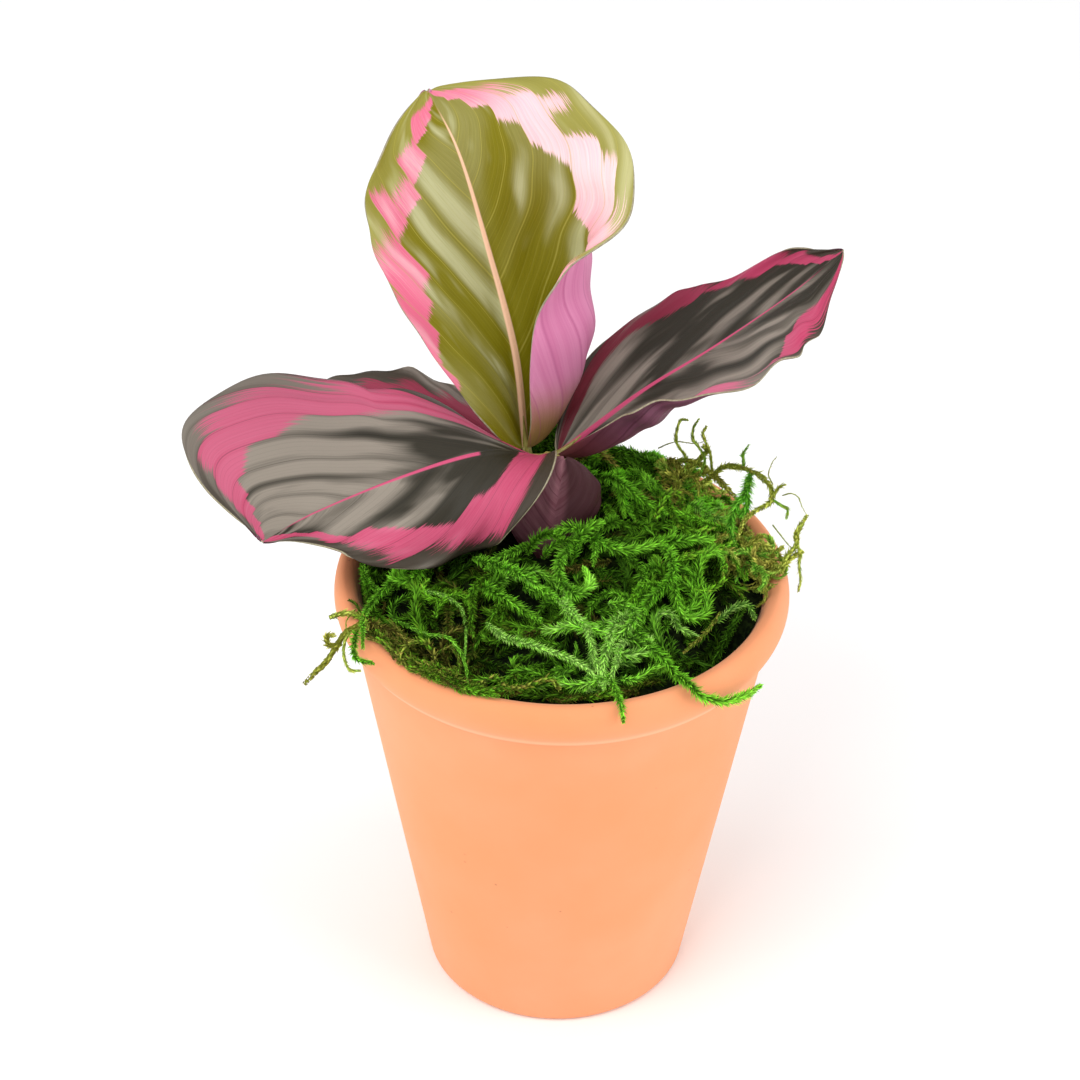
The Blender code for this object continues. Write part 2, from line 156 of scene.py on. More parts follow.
class Surface:
    """A Principled material in the making.

    Each method adds one node and returns the socket that carries its result.  Colours are
    sRGB hex values or sockets.
    """

    def __init__(self, name: str, roughness: float, **constants: float | tuple) -> None:
        """Start the material.

        Args:
            name: The material's name.
            roughness: The shader's roughness.
            constants: Other values of the shader, with spaces in the names as underscores.
        """
        self.made = bpy.data.materials.new(name)
        self.made.use_nodes = True
        self.tree = self.made.node_tree
        self.shader = self.tree.nodes["Principled BSDF"]
        self.shader.inputs["Roughness"].default_value = roughness
        for key, value in constants.items():
            self.shader.inputs[key.replace("_", " ")].default_value = value

    def node(self, kind: str, inputs: dict | None = None, output: str | int = 0,
             **settings: object) -> Socket:
        """Any node by its type name without the prefix, and one of its outputs."""
        return add(self.tree, "ShaderNode" + kind, inputs, **settings).outputs[output]

    def here(self) -> Socket:
        """The object's own coordinates."""
        return self.node("TexCoord", output="Object")

    def attribute(self, name: str) -> Socket:
        """A value that the mesh carries at each corner."""
        return self.node("Attribute", output="Fac", attribute_name=name)

    def leaf_place(self) -> tuple[Socket, Socket]:
        """The blade's own UV map: the share from base to tip, and from the left edge to the right."""
        parts = self.node("SeparateXYZ", {0: self.node("UVMap", uv_map="leaf")}).node
        return parts.outputs["X"], parts.outputs["Y"]

    def joined(self, x: Socket, y: Socket, z: Socket | float = 0.0) -> Socket:
        """A vector of three values."""
        return self.node("CombineXYZ", {"X": x, "Y": y, "Z": z})

    def scaled(self, vector: Socket, scale: tuple, location: tuple = (0.0, 0.0, 0.0)) -> Socket:
        """A vector stretched along each axis, then moved."""
        return self.node("Mapping", {"Vector": vector, "Scale": scale, "Location": location})

    def sums(self, operation: str, *values: Socket | float, clamp: bool = False) -> Socket:
        """One step of arithmetic."""
        return self.node("Math", dict(enumerate(values)), operation=operation, use_clamp=clamp)

    def plus(self, value: Socket, factor: Socket | float, base: Socket | float,
             clamp: bool = False) -> Socket:
        """value x factor + base."""
        return self.sums("MULTIPLY_ADD", value, factor, base, clamp=clamp)

    def ramped(self, value: Socket, low: float, high: float, first: float = 0.0, last: float = 1.0,
               smooth: bool = True) -> Socket:
        """A value that goes from first to last while another goes from low to high."""
        return self.node("MapRange", {0: value, 1: low, 2: high, 3: first, 4: last},
                         interpolation_type="SMOOTHSTEP" if smooth else "LINEAR")

    def cloud(self, scale: float, detail: float, vector: Socket | None = None, **more: float) -> Socket:
        """Fractal noise."""
        inputs = {"Scale": scale, "Detail": detail, **more}
        return self.node("TexNoise", inputs if vector is None else {"Vector": vector, **inputs})

    def tones(self, value: Socket, *stops: tuple) -> Socket:
        """A colour ramp through places and sRGB hex colours."""
        stops = tuple((place, linear(code)) for place, code in stops)
        return self.node("ValToRGB", {0: value}, stops=stops)

    def mixed(self, factor: Socket, base: Socket | str, over: Socket | str) -> Socket:
        """One colour laid over another."""
        base, over = (linear(value) if isinstance(value, str) else value for value in (base, over))
        return self.node("Mix", {"Factor": factor, "A": base, "B": over}, "Result", data_type="RGBA")

    def finish(self, colour: Socket, height: Socket | None = None, strength: float = 0.0,
               depth_mm: float = 0.0) -> bpy.types.Material:
        """Link the colour and the relief to the shader, and hand the material over."""
        self.tree.links.new(colour, self.shader.inputs["Base Color"])
        if height is not None:
            bump = self.node("Bump", {"Strength": strength, "Distance": depth_mm * MM, "Height": height})
            self.tree.links.new(bump, self.shader.inputs["Normal"])
        return self.made


def along(knots: tuple, t: np.ndarray) -> np.ndarray:
    """Smooth curve through evenly spaced knots.

    Args:
        knots: Numbers or points, from the first to the last.
        t: Places along them, from 0 to 1.

    Returns:
        The values at those places.
    """
    points = np.asarray(knots, float)
    last = len(points) - 1
    ends = np.concatenate([[2 * points[0] - points[1]], points, [2 * points[-1] - points[-2]]])
    spot = np.clip(np.asarray(t, float), 0.0, 1.0) * last
    i = np.minimum(spot.astype(int), last - 1)
    f = spot - i
    if points.ndim > 1:
        f = f[..., None]
    a, b, c, d = ends[i], ends[i + 1], ends[i + 2], ends[i + 3]
    return 0.5 * (2 * b + (c - a) * f + (2 * a - 5 * b + 4 * c - d) * f ** 2
                  + (3 * b - a - 3 * c + d) * f ** 3)


def unit(vectors: np.ndarray) -> np.ndarray:
    """The vectors at length one."""
    return vectors / np.maximum(np.linalg.norm(vectors, axis=-1, keepdims=True), 1e-12)


def facing(grid: np.ndarray) -> np.ndarray:
    """The direction that a grid of points faces at each of them."""
    return unit(np.cross(np.gradient(grid, axis=1), np.gradient(grid, axis=0)))


def ease(value: np.ndarray) -> np.ndarray:
    """Smooth step from 0 to 1."""
    value = np.clip(value, 0.0, 1.0)
    return value * value * (3.0 - 2.0 * value)


def bell(x: np.ndarray, y: np.ndarray, centre_x: float, centre_y: float, spread: float) -> np.ndarray:
    """A round bump of height one over a place.  Spread is in square millimetres."""
    return np.exp(-((x - centre_x) ** 2 + (y - centre_y) ** 2) / spread)


def place_object(name: str, data: bpy.types.ID) -> bpy.types.Object:
    """Link a new object that shows some data."""
    item = bpy.data.objects.new(name, data)
    bpy.context.scene.collection.objects.link(item)
    return item


def turned(outline: list, steps: int, closed: bool = True) -> bmesh.types.BMesh:
    """Turn an outline once about the pot's axis.

    Args:
        outline: Radius and height of each of its points.
        steps: How many stretches the turn has.
        closed: Whether its last point joins the first.

    Returns:
        The turned shape.
    """
    shape = bmesh.new()
    points = [shape.verts.new((radius, 0.0, height)) for radius, height in outline]
    following = points[1:] + points[:1] if closed else points[1:]
    edges = [shape.edges.new(pair) for pair in zip(points, following)]
    bmesh.ops.spin(shape, geom=points + edges, cent=(0, 0, 0), axis=(0, 0, 1), dvec=(0, 0, 0),
                   angle=math.tau, steps=steps, use_merge=True)
    bmesh.ops.remove_doubles(shape, verts=shape.verts, dist=0.01)
    bmesh.ops.recalc_face_normals(shape, faces=shape.faces)
    return shape


class Plant:
    """What every sub-assembly needs: the pot's axis, and how a piece joins the object."""

    def __init__(self) -> None:
        """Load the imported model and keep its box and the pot's axis."""
        self.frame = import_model()
        self.cad_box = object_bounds()
        low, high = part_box("terracotta_pot")
        self.axis = Vector(((low.x + high.x) / 2, (low.y + high.y) / 2, 0.0))
        self.rim_radius = (high.x - low.x) / 2 / MM
        self.pot_height = high.z / MM

    def join(self, name: str, shape: bmesh.types.BMesh, slot: str, finishes: list,
             nodes: tuple) -> bpy.types.Object:
        """Make a smooth piece from a mesh in millimetres about the pot's axis, which is freed.

        The other arguments and the result are those of register().
        """
        place = Matrix.Translation(self.axis) @ Matrix.Scale(MM, 4)
        bmesh.ops.transform(shape, matrix=place, verts=shape.verts)
        for face in shape.faces:
            face.smooth = True
        mesh = bpy.data.meshes.new(name)
        shape.to_mesh(mesh)
        shape.free()
        return self.register(name, mesh, slot, finishes, nodes)

    def register(self, name: str, mesh: bpy.types.Mesh, slot: str, finishes: list,
                 nodes: tuple) -> bpy.types.Object:
        """Link a mesh that is already in metres in the plant's frame.

        Args:
            name: The piece's name.
            mesh: Its mesh.
            slot: The record's material slot; not used.
            finishes: Materials, in the order of the mesh's material numbers.
            nodes: Construction nodes that the piece stands for.

        Returns:
            The new object, riding on the plant.
        """
        item = place_object(name, mesh)
        for finish in finishes:
            mesh.materials.append(finish)
        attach(item, "root")
        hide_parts(*nodes)
        LOG.info("%s: %d vertices, %d faces", name, len(mesh.vertices), len(mesh.polygons))
        return item


# ---------------------------------------------------------------- the studio


@dataclass(frozen=True)
class Studio:
    """Camera, floor and soft lights.  Lengths in metres."""

    lens: float = 101.4
    elevation: float = 36.14
    heading: float = 0.52
    roll: float = 0.69
    distance: float = 0.7943
    aim_right: float = -0.0059
    aim_height: float = 0.1396
    lamps: tuple = (("key", 0.8, 8.5, (-0.45, -0.75, 1.25)), ("right", 0.9, 8.8, (1.15, -0.45, 0.55)),
                    ("left", 0.9, 5.5, (-1.15, -0.35, 0.5)), ("top", 0.9, 3.5, (-0.1, 0.3, 1.5)))
    lamp_aim: float = 0.13
    sky: float = 0.62
    floor_reach: float = 6.0

    def camera(self, axis: Vector) -> None:
        """Place the camera above and in front of the plant.

        Args:
            axis: The pot's axis, at the floor.
        """
        lens = bpy.data.cameras.new("camera")
        lens.lens = self.lens
        lens.clip_start = 0.05
        lens.clip_end = 20.0
        turn = Matrix.Identity(3)
        for angle, about in ((self.heading, "Z"), (90.0 - self.elevation, "X"), (self.roll, "Z")):
            turn = turn @ Matrix.Rotation(math.radians(angle), 3, about)
        item = place_object("camera", lens)
        aim = axis + Vector((self.aim_right, 0.0, self.aim_height))
        item.matrix_world = Matrix.Translation(aim + turn @ Vector((0, 0, self.distance))) @ turn.to_4x4()
        bpy.context.scene.camera = item

    def floor(self) -> None:
        """A plain pale floor."""
        paper = Surface("white_studio_paper", 0.9)
        made = paper.finish(paper.tones(paper.cloud(40.0, 3.0), (0.0, "FAFAFA"), (1.0, "FDFDFD")))
        shape = bmesh.new()
        bmesh.ops.create_grid(shape, x_segments=1, y_segments=1, size=self.floor_reach)
        mesh = bpy.data.meshes.new("floor")
        shape.to_mesh(mesh)
        shape.free()
        mesh.materials.append(made)
        place_object("floor", mesh)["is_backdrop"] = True

    def light(self, name: str, size: float, power: float, place: tuple, aim: Vector) -> None:
        """One soft square lamp that faces the plant.

        Args:
            name: The lamp's name.
            size: Its side.
            power: Its power in watts.
            place: Where it hangs.
            aim: What it faces.
        """
        lamp = bpy.data.lights.new(name, "AREA")
        lamp.shape = "SQUARE"
        lamp.size = size
        lamp.energy = power
        item = place_object(name, lamp)
        item.location = place
        item.rotation_mode = "QUATERNION"
        item.rotation_quaternion = (aim - Vector(place)).to_track_quat("-Z", "Y")

    def build(self, axis: Vector) -> None:
        """Set up the whole studio.

        Args:
            axis: The pot's axis, at the floor.
        """
        self.camera(axis)
        self.floor()
        for lamp in self.lamps:
            self.light(*lamp, axis + Vector((0, 0, self.lamp_aim)))
        world = bpy.data.worlds.new("studio")
        world.use_nodes = True
        sky = world.node_tree.nodes["Background"]
        sky.inputs["Color"].default_value = linear("FFFFFF")
        sky.inputs["Strength"].default_value = self.sky
        bpy.context.scene.world = world
        bpy.context.scene.view_settings.view_transform = "Standard"


# ---------------------------------------------------------------- the pot


@dataclass(frozen=True)
class Terracotta:
    """Fired red earthenware, unglazed and turned: it is dry and matt, with fine grain and pale bloom."""

    body: str = "EB9869"
    bloom: str = "EE9F74"
    deep: str = "E89360"
    # Colour of the painted highlight along the ridge under the rim, at ridge_mm.
    painted_ridge_highlight: str = "FFC49A"
    speck: str = "8A4A28"
    ridge_mm: float = 118.4
    cloud_mm: float = 52.0
    grain_mm: float = 0.5
    speck_mm: float = 9.0
    ring_mm: float = 7.0

    def material(self) -> bpy.types.Material:
        """Build the clay's material."""
        clay = Surface("unglazed_terracotta", 0.82, IOR=1.5, Specular_IOR_Level=0.3, Sheen_Weight=0.25,
                       Sheen_Roughness=0.5, Sheen_Tint=linear("FFE2C8"))
        where = clay.here()
        cloud = clay.cloud(1 / (self.cloud_mm * MM), 4.0, where, Roughness=0.5)
        tone = clay.tones(cloud, (0.30, self.deep), (0.50, self.body), (0.72, self.bloom))
        grain = clay.cloud(1 / (self.grain_mm * MM), 4.0, where, Roughness=0.7)
        specks = clay.node("TexVoronoi", {"Vector": where, "Scale": 1 / (self.speck_mm * MM)}, "Distance")
        dark = clay.ramped(specks, 0.03, 0.05, 0.4, 0.0, smooth=False)
        # Painted highlight: a thin pale ring along the ridge under the rim, where it would catch the
        # light.
        height = clay.node("SeparateXYZ", {0: where}, "Z")
        off = clay.sums("ABSOLUTE", clay.sums("SUBTRACT", height, self.ridge_mm * MM))
        painted_ridge_highlight = clay.mixed(clay.ramped(off, 0.1 * MM, 1.3 * MM, 0.45, 0.0), tone, self.painted_ridge_highlight)
        rings = clay.node("TexWave", {"Vector": where, "Scale": 1 / (self.ring_mm * MM) / 20,
                                      "Distortion": 1.5, "Detail": 2.0}, bands_direction="Z")
        return clay.finish(clay.mixed(dark, painted_ridge_highlight, self.speck), clay.plus(rings, 0.25, grain), 0.16, 0.4)


@dataclass
class Pot:
    """Tapered clay pot with a rolled rim.  Heights are above the floor, radii from the pot's axis."""

    plant: Plant
    neck_radius: float = 55.4
    neck_height: float = 116.5
    foot_radius: float = 36.0
    wall: float = 4.6
    floor: float = 7.0
    lip_radius: float = 54.5
    drain_radius: float = 7.0
    recess_radius: float = 22.0
    recess: float = 2.0
    clay: Terracotta = field(default_factory=Terracotta)

    def quarter(self, centre: tuple, radii: tuple, start: float, end: float, steps: int) -> list:
        """Points along a part of an ellipse.

        Args:
            centre: Radius and height of its middle.
            radii: Its half width and half height.
            start: First angle in degrees.
            end: Last angle in degrees.
            steps: How many stretches to divide it in.

        Returns:
            Radius and height of each point.
        """
        angles = np.radians(np.linspace(start, end, steps + 1))
        return [(centre[0] + radii[0] * math.cos(a), centre[1] + radii[1] * math.sin(a)) for a in angles]

    def profile(self) -> list:
        """The closed outline of the wall, down the outside and up the inside."""
        rim, top = self.plant.rim_radius, self.plant.pot_height
        neck, shoulder = self.neck_radius, self.neck_height
        crown, roll = rim - 3.0, top - 5.5
        under = neck + 0.9
        foot, inner = self.foot_radius, self.foot_radius - self.wall
        slope = (neck - foot) / shoulder
        # The rolled rim and the neck below it.
        points = self.quarter((crown, roll), (rim - crown, top - roll), 90, 0, 10)
        points += self.quarter((under, roll), (rim - under, 5.6), 0, -62, 8)[1:]
        points += [(neck + out, shoulder + up)
                   for out, up in ((2.0, 2.0), (1.5, 1.0), (0.5, 0.5), (0.1, -0.4))]
        # The tapered wall, the foot, its recess and the drainage hole.
        points += [(foot + slope * h, h) for h in np.linspace(shoulder - 2.0, 3.0, 16)]
        points += [(foot + slope * 1.4, 1.4), (foot - 0.6, 0.4), (foot - 1.6, 0.0)]
        points += [(self.recess_radius, 0.0), (self.recess_radius - 1.5, self.recess)]
        points += [(self.drain_radius + 0.5, self.recess), (self.drain_radius, self.recess + 0.6)]
        points += [(self.drain_radius, self.floor - 0.6), (self.drain_radius + 0.5, self.floor)]
        # The inside, up to the lip.
        points += [(inner + slope * self.floor - 3.0, self.floor)]
        points += [(inner + slope * 10.0, self.floor + 3.0)]
        points += [(inner + slope * h, h) for h in np.linspace(20.0, shoulder, 8)]
        points += [(inner + slope * shoulder + 0.6, shoulder + 6.0)]
        points += [(self.lip_radius + out, top - down)
                   for out, down in ((-0.8, 3.0), (-0.2, 1.4), (0.8, 0.45))]
        return points

    def build(self) -> None:
        """Turn the profile into the pot."""
        shape = turned(self.profile(), 144)
        self.plant.join("turned_pot", shape, "terracotta", [self.clay.material()], ("terracotta_pot",))


# ---------------------------------------------------------------- the leaves


@dataclass(frozen=True)
class BladeShape:
    """A leaf blade: a sheet swept along a curved midrib.

    midrib holds points from the stalk to the tip, about the pot's axis, and face
    the direction that the upper side looks in.  Each half has its width, the slope
    at which it leaves the midrib and the angle that it then curls through, in
    degrees, as evenly spaced values from base to tip.  roll gives the part of the
    half width in which the curl happens.
    """

    midrib: tuple
    face: tuple
    half: tuple
    rise: tuple
    curl: tuple
    fullness: tuple
    roll: tuple
    veins: float
    sweep: tuple
    pleat: float = 0.26
    ruffle: float = 0.9
    edge_wave: tuple = (0.0, 0.0)
    rows: int = 150
    columns: int = 72

    def grid(self) -> dict:
        """Work out the surface on a grid of rows along and columns across.

        Returns:
            Points, and the fields that the finish needs, each with one value a point.
        """
        # Rows close up towards both ends, columns towards the midrib.
        place = np.linspace(0.0, 1.0, self.rows + 1)
        t = 0.5 - 0.4992 * np.cos(math.pi * place)
        v = np.linspace(-1.0, 1.0, self.columns + 1)
        v = np.sign(v) * np.abs(v) ** 1.2

        # The midrib's own directions: onwards, up from the leaf and to its side.
        step = 0.001
        mid = along(self.midrib, t)
        after, before = (along(self.midrib, np.clip(t + move, 0, 1)) for move in (step, -step))
        tangent = unit(after - before)
        face = along(self.face, t)
        face = unit(face - tangent * np.sum(face * tangent, axis=1, keepdims=True))
        side = np.cross(tangent, face)

        full = self.fullness[0] + (self.fullness[1] - self.fullness[0]) * t
        shape = np.sin(math.pi * t) ** full
        ripple = np.sin(21.0 * t + 2.0) + 0.7 * np.sin(47.0 * t + 0.5)
        points = np.zeros((self.rows + 1, self.columns + 1, 3))
        vein = np.zeros(points.shape[:2])
        across_mm = np.zeros(points.shape[:2])
        middle = self.columns // 2
        for number, sign in enumerate((-1, 1)):
            columns = range(middle, self.columns + 1) if sign > 0 else range(middle, -1, -1)
            reach = np.abs(v[list(columns)])
            width = along(self.half[number], t) * shape
            width = width * (1.0 + self.edge_wave[number] * ripple * ease(t / 0.4))
            rise = np.radians(along(self.rise[number], t))
            curl = np.radians(along(self.curl[number], t))
            across = np.zeros(self.rows + 1)
            above = np.zeros(self.rows + 1)
            for k, column in enumerate(columns):
                for part in (0.25, 0.75) if k else ():
                    gap = reach[k] - reach[k - 1]
                    rolled = (reach[k - 1] + gap * part - self.roll[0]) / (self.roll[1] - self.roll[0])
                    angle = rise + curl * ease(rolled)
                    across = across + np.cos(angle) * width * gap / 2
                    above = above + np.sin(angle) * width * gap / 2
                points[:, column] = mid + sign * side * across[:, None] + face * above[:, None]
                run = t - self.sweep[number] * reach[k] ** 1.15
                vein[:, column] = self.veins * run + 0.25 * np.sin(9.0 * run + sign)
                across_mm[:, column] = width * reach[k]

        # Relief: a pleat at each lateral vein, slow waves at the edge, and the midrib's groove.
        s = np.abs(v)[None, :]
        phase = vein + HALF_SHIFT * (v > 0)[None, :]
        taper = np.sin(math.pi * t)[:, None] ** 0.5
        strength = 0.55 + 0.45 * np.sin(2.3 * phase + 1.1) * np.cos(4.0 * s)
        pleats = self.pleat * strength * np.cos(math.tau * phase) * ease(across_mm / 4.0)
        pleats = pleats * (1 - 0.6 * s ** 4) * taper
        waves = self.ruffle * np.sin(math.tau * phase * 0.55 + 1.3) * ease((s - 0.55) / 0.45) * taper
        groove = 0.5 * np.exp(-(across_mm / 0.9) ** 2) - 0.55 * np.exp(-(across_mm / 2.6) ** 2)
        points = points + facing(points) * (pleats + waves + groove)[..., None]
        return {"points": points, "t": t, "v": v, "vein": vein, "across": across_mm}


@dataclass(frozen=True)
class BladePattern:
    """Where the painted ring of a blade lies, as shares of the half width from base to tip.

    Each entry has the left half's values, then the right half's.
    """

    inner: tuple
    outer: tuple
    # pale above zero pales the ring; below zero it darkens it towards band_deep, which on the right leaf
    # is painted shade.
    pale: tuple
    # painted_sheen: how much painted sheen each half gets, from base to tip.
    painted_sheen: tuple = ((0.5, 0.5), (0.5, 0.5))
    rib_start: float = 0.0


class Side(Enum):
    """Material numbers on a blade."""

    UPPER = 0
    UNDER = 1
    MARGIN = 2


@dataclass(frozen=True)
class LeafSkin:
    """A calathea leaf's upper skin, waxy over pleats, with its satin sheen painted into the colour in
    stripes.

    Colours are sRGB hex values.
    """

    name: str
    centre: str
    centre_deep: str
    sheen: str
    band: str
    band_pale: str
    band_deep: str
    margin: str
    margin_light: str
    rib: str
    vein: str
    rib_mm: float
    rib_end: float
    tooth: float
    fray: float
    stripe: float
    lit_from: float
    haze: float
    vein_show: float
    roughness: float

    def material(self) -> bpy.types.Material:
        """Build the upper side's material from the blade's own fields."""
        skin = Surface(self.name, self.roughness, IOR=1.45, Specular_IOR_Level=0.22)
        t, v = skin.leaf_place()
        signed = skin.plus(v, 2.0, -1.0)
        s = skin.sums("ABSOLUTE", signed)
        right = skin.sums("GREATER_THAN", signed, 0.0)
        pale, painted_sheen = skin.attribute("pale"), skin.attribute("painted_sheen")
        phase = skin.plus(right, HALF_SHIFT, skin.attribute("vein"))
        seed = skin.plus(right, 31.7, skin.sums("FLOOR", phase))
        chance = skin.node("TexWhiteNoise", {"W": seed}, noise_dimensions="1D")
        run = skin.sums("FRACT", phase)

        # Fibres: long along the lateral veins, short across them.
        fibre_at = skin.joined(phase, s, right)
        fibre = skin.cloud(2.2, 6.0, skin.scaled(fibre_at, (9.0, 2.2, 3.0)), Roughness=0.65)
        fine = skin.sums("ADD", fibre, -0.5)

        # The ring's edges step at each lateral vein, and the outer one frays along the fibres.
        saw = skin.sums("ADD", run, -0.5)
        jump = skin.sums("ADD", chance, -0.5)
        ragged = skin.plus(jump, self.tooth, skin.plus(saw, self.tooth, s))
        past_in = skin.sums("SUBTRACT", skin.plus(fine, 0.14, ragged), skin.attribute("inner"))
        in_band = skin.ramped(past_in, -0.010, 0.014)
        uneven = skin.plus(jump, self.fray, skin.plus(saw, self.tooth * 1.4, s))
        past_out = skin.sums("SUBTRACT", skin.plus(fine, 0.45, uneven), skin.attribute("outer"))
        out_band = skin.ramped(past_out, -0.03, 0.04)

        # Painted sheen: satin highlight stripes between some of the lateral veins, and a haze of painted
        # sheen that fades in and out over several.
        hump, fall = skin.ramped(run, 0.02, 0.34), skin.ramped(run, 0.5, 0.98, 1.0, 0.0)
        stripe = skin.sums("MULTIPLY", hump, fall)
        patch = skin.cloud(1.3, 1.5, skin.scaled(fibre_at, (0.75, 3.0, 5.0)))
        favour = skin.sums("SUBTRACT", painted_sheen, 0.5)
        shifted = skin.plus(favour, 0.4, skin.plus(jump, 0.34, patch))
        streak = skin.sums("MULTIPLY", stripe, skin.ramped(shifted, self.lit_from, self.lit_from + 0.22))
        haze = skin.cloud(1.5, 1.0, skin.scaled(fibre_at, (0.34, 0.9, 4.0), (3.1, 1.7, 0.0)))
        veil = skin.ramped(skin.plus(favour, 0.3, haze), 0.5, 0.68, 0.0, self.haze)
        threads = skin.ramped(fibre, 0.3, 0.7, 0.7, 1.15, smooth=False)
        painted_light = skin.sums("MULTIPLY", skin.plus(streak, self.stripe, veil), threads, clamp=True)

        # The painted sheen lightens the middle, the ring (towards band_pale) and the margin (towards
        # margin_light).
        middle = skin.mixed(painted_light, skin.mixed(fibre, self.centre_deep, self.centre), self.sheen)
        paint = skin.mixed(skin.plus(fine, 0.8, pale, clamp=True), self.band, self.band_pale)
        paint = skin.mixed(skin.sums("MULTIPLY", painted_light, 0.4), paint, self.band_pale)
        # Where pale is below zero the ring darkens towards band_deep; on the right leaf's left half that
        # is painted shade.
        paint = skin.mixed(skin.sums("MULTIPLY", pale, -1.0, clamp=True), paint, self.band_deep)
        edge = skin.mixed(painted_light, self.margin, self.margin_light)
        colour = skin.mixed(out_band, skin.mixed(in_band, middle, paint), edge)

        # Lateral veins: thin lines where the pleats meet.
        from_line = skin.sums("ABSOLUTE", skin.sums("SUBTRACT", run, 0.5))
        main = skin.ramped(from_line, 0.468, 0.496, 0.0, self.vein_show)
        ripple = skin.sums("PINGPONG", skin.sums("MULTIPLY", phase, 6.0), 0.5)
        line = skin.sums("MAXIMUM", main, skin.ramped(ripple, 0.38, 0.5, 0.0, self.vein_show * 0.28))
        colour = skin.mixed(line, colour, self.vein)

        # The midrib: a painted line that thins towards the tip.
        half_rib = skin.ramped(t, 0.0, self.rib_end, self.rib_mm, 0.12, smooth=False)
        from_rib = skin.sums("SUBTRACT", skin.attribute("across"), half_rib)
        rib = skin.ramped(from_rib, -0.25, 0.15, 1.0, 0.0)
        ends = skin.ramped(t, self.rib_end - 0.12, self.rib_end, 1.0, 0.0, smooth=False)
        rib = skin.sums("MULTIPLY", rib, skin.sums("MULTIPLY", ends, skin.attribute("rib")))
        rough = skin.ramped(fibre, 0.3, 0.7, self.roughness - 0.06, self.roughness + 0.08, smooth=False)
        skin.tree.links.new(rough, skin.shader.inputs["Roughness"])
        return skin.finish(skin.mixed(rib, colour, self.rib), skin.plus(line, -0.6, fibre), 0.3, 0.25)


@dataclass(frozen=True)
class LeafUnderside:
    """The leaf's underside: coloured by anthocyanin, matt, with fine raised veins."""

    name: str
    colour: str
    light: str
    base: str
    vein: str
    roughness: float = 0.5
    # Painted shade on one half: how far it is darkened, and towards which colour.
    shaded_half: float = 0.0
    dark: str = "000000"

    def material(self) -> bpy.types.Material:
        """Build the underside's material."""
        skin = Surface(self.name, self.roughness, IOR=1.45, Specular_IOR_Level=0.2)
        t, v = skin.leaf_place()
        vein = skin.attribute("vein")
        at = skin.joined(vein, v)
        fibre = skin.cloud(2.0, 5.0, skin.scaled(at, (8.0, 3.0, 1.0)))
        shade = skin.ramped(skin.plus(fibre, 0.4, skin.cloud(2.3, 3.0, at)), 0.45, 0.95, smooth=False)
        colour = skin.mixed(shade, self.colour, self.light)
        colour = skin.mixed(skin.ramped(t, 0.03, 0.24, 1.0, 0.0), colour, self.base)
        # Painted shade: the half with v below 0.38 is darkened towards dark, as the half turned away from
        # the light.
        colour = skin.mixed(skin.ramped(v, 0.38, 0.51, self.shaded_half, 0.0), colour, self.dark)
        from_line = skin.sums("ABSOLUTE", skin.sums("SUBTRACT", skin.sums("FRACT", vein), 0.5))
        line = skin.ramped(from_line, 0.44, 0.5, 0.0, 0.45)
        return skin.finish(skin.mixed(line, colour, self.vein), skin.plus(line, 0.8, fibre), 0.35, 0.25)


@dataclass(frozen=True)
class PlainTissue:
    """Plain plant tissue with fine fibres: a leaf's cut margin or a stalk."""

    name: str
    colour: str
    light: str
    roughness: float = 0.45
    fibre_mm: float = 0.7

    def material(self) -> bpy.types.Material:
        """Build the tissue's material."""
        skin = Surface(self.name, self.roughness, IOR=1.45)
        fibre = skin.cloud(1 / (self.fibre_mm * MM), 4.0, skin.scaled(skin.here(), (1.0, 1.0, 0.25)))
        return skin.finish(skin.tones(fibre, (0.35, self.colour), (0.65, self.light)), fibre, 0.2, 0.2)


# In these skins, sheen and margin_light are painted sheen colours; band_pale is both the ring's paler
# pigment and its painted sheen; band_deep is both a deeper ring and painted shade.
YOUNG_SKIN = LeafSkin(
    name="young_calathea_leaf_upper", centre="827A0C", centre_deep="6C6508", sheen="B6B486",
    band="DC6686", band_pale="FFDDE0", band_deep="B84C6C", margin="8E8836", margin_light="B8B47C",
    rib="F4C4A2", vein="AEA448", rib_mm=1.25, rib_end=0.95, tooth=0.1, fray=0.3, stripe=0.85,
    lit_from=0.52, haze=0.25, vein_show=0.5, roughness=0.45)
MATURE_SKIN = LeafSkin(
    name="mature_calathea_leaf_upper", centre="3A352A", centre_deep="24221A", sheen="8F867A",
    band="B93E62", band_pale="CE7690", band_deep="6A1E2A", margin="3E362C", margin_light="7A7268",
    rib="C84E74", vein="1C1913", rib_mm=0.95, rib_end=0.92, tooth=0.08, fray=0.14, stripe=0.8,
    lit_from=0.43, haze=0.8, vein_show=0.35, roughness=0.45)
YOUNG_UNDERSIDE = LeafUnderside("young_calathea_leaf_underside", "C46C96", "DC90B4", "A8844E", "AE5A84")
MATURE_UNDERSIDE = LeafUnderside("mature_calathea_leaf_underside", "50293A", "744458", "5C2A2E", "38181F")
SMALL_UNDERSIDE = LeafUnderside("small_calathea_leaf_underside", "6E3A46", "96666F", "4A2024", "4A222A",
                                shaded_half=0.85, dark="2A0E10")
MARGIN_TISSUE = PlainTissue("leaf_margin", "857E62", "A39A80")
STALK_TISSUE = PlainTissue("leaf_stalk_skin", "7E7A34", "A89A58")


@dataclass(frozen=True)
class LeafPlan:
    """One leaf of the plant: its names, shape, pattern and stalk."""

    name: str
    shape: BladeShape
    pattern: BladePattern
    foot_angle: float
    stalk_radius: float
    skin: LeafSkin = MATURE_SKIN
    underside: LeafUnderside = MATURE_UNDERSIDE
    slot: str = "mature_leaf"


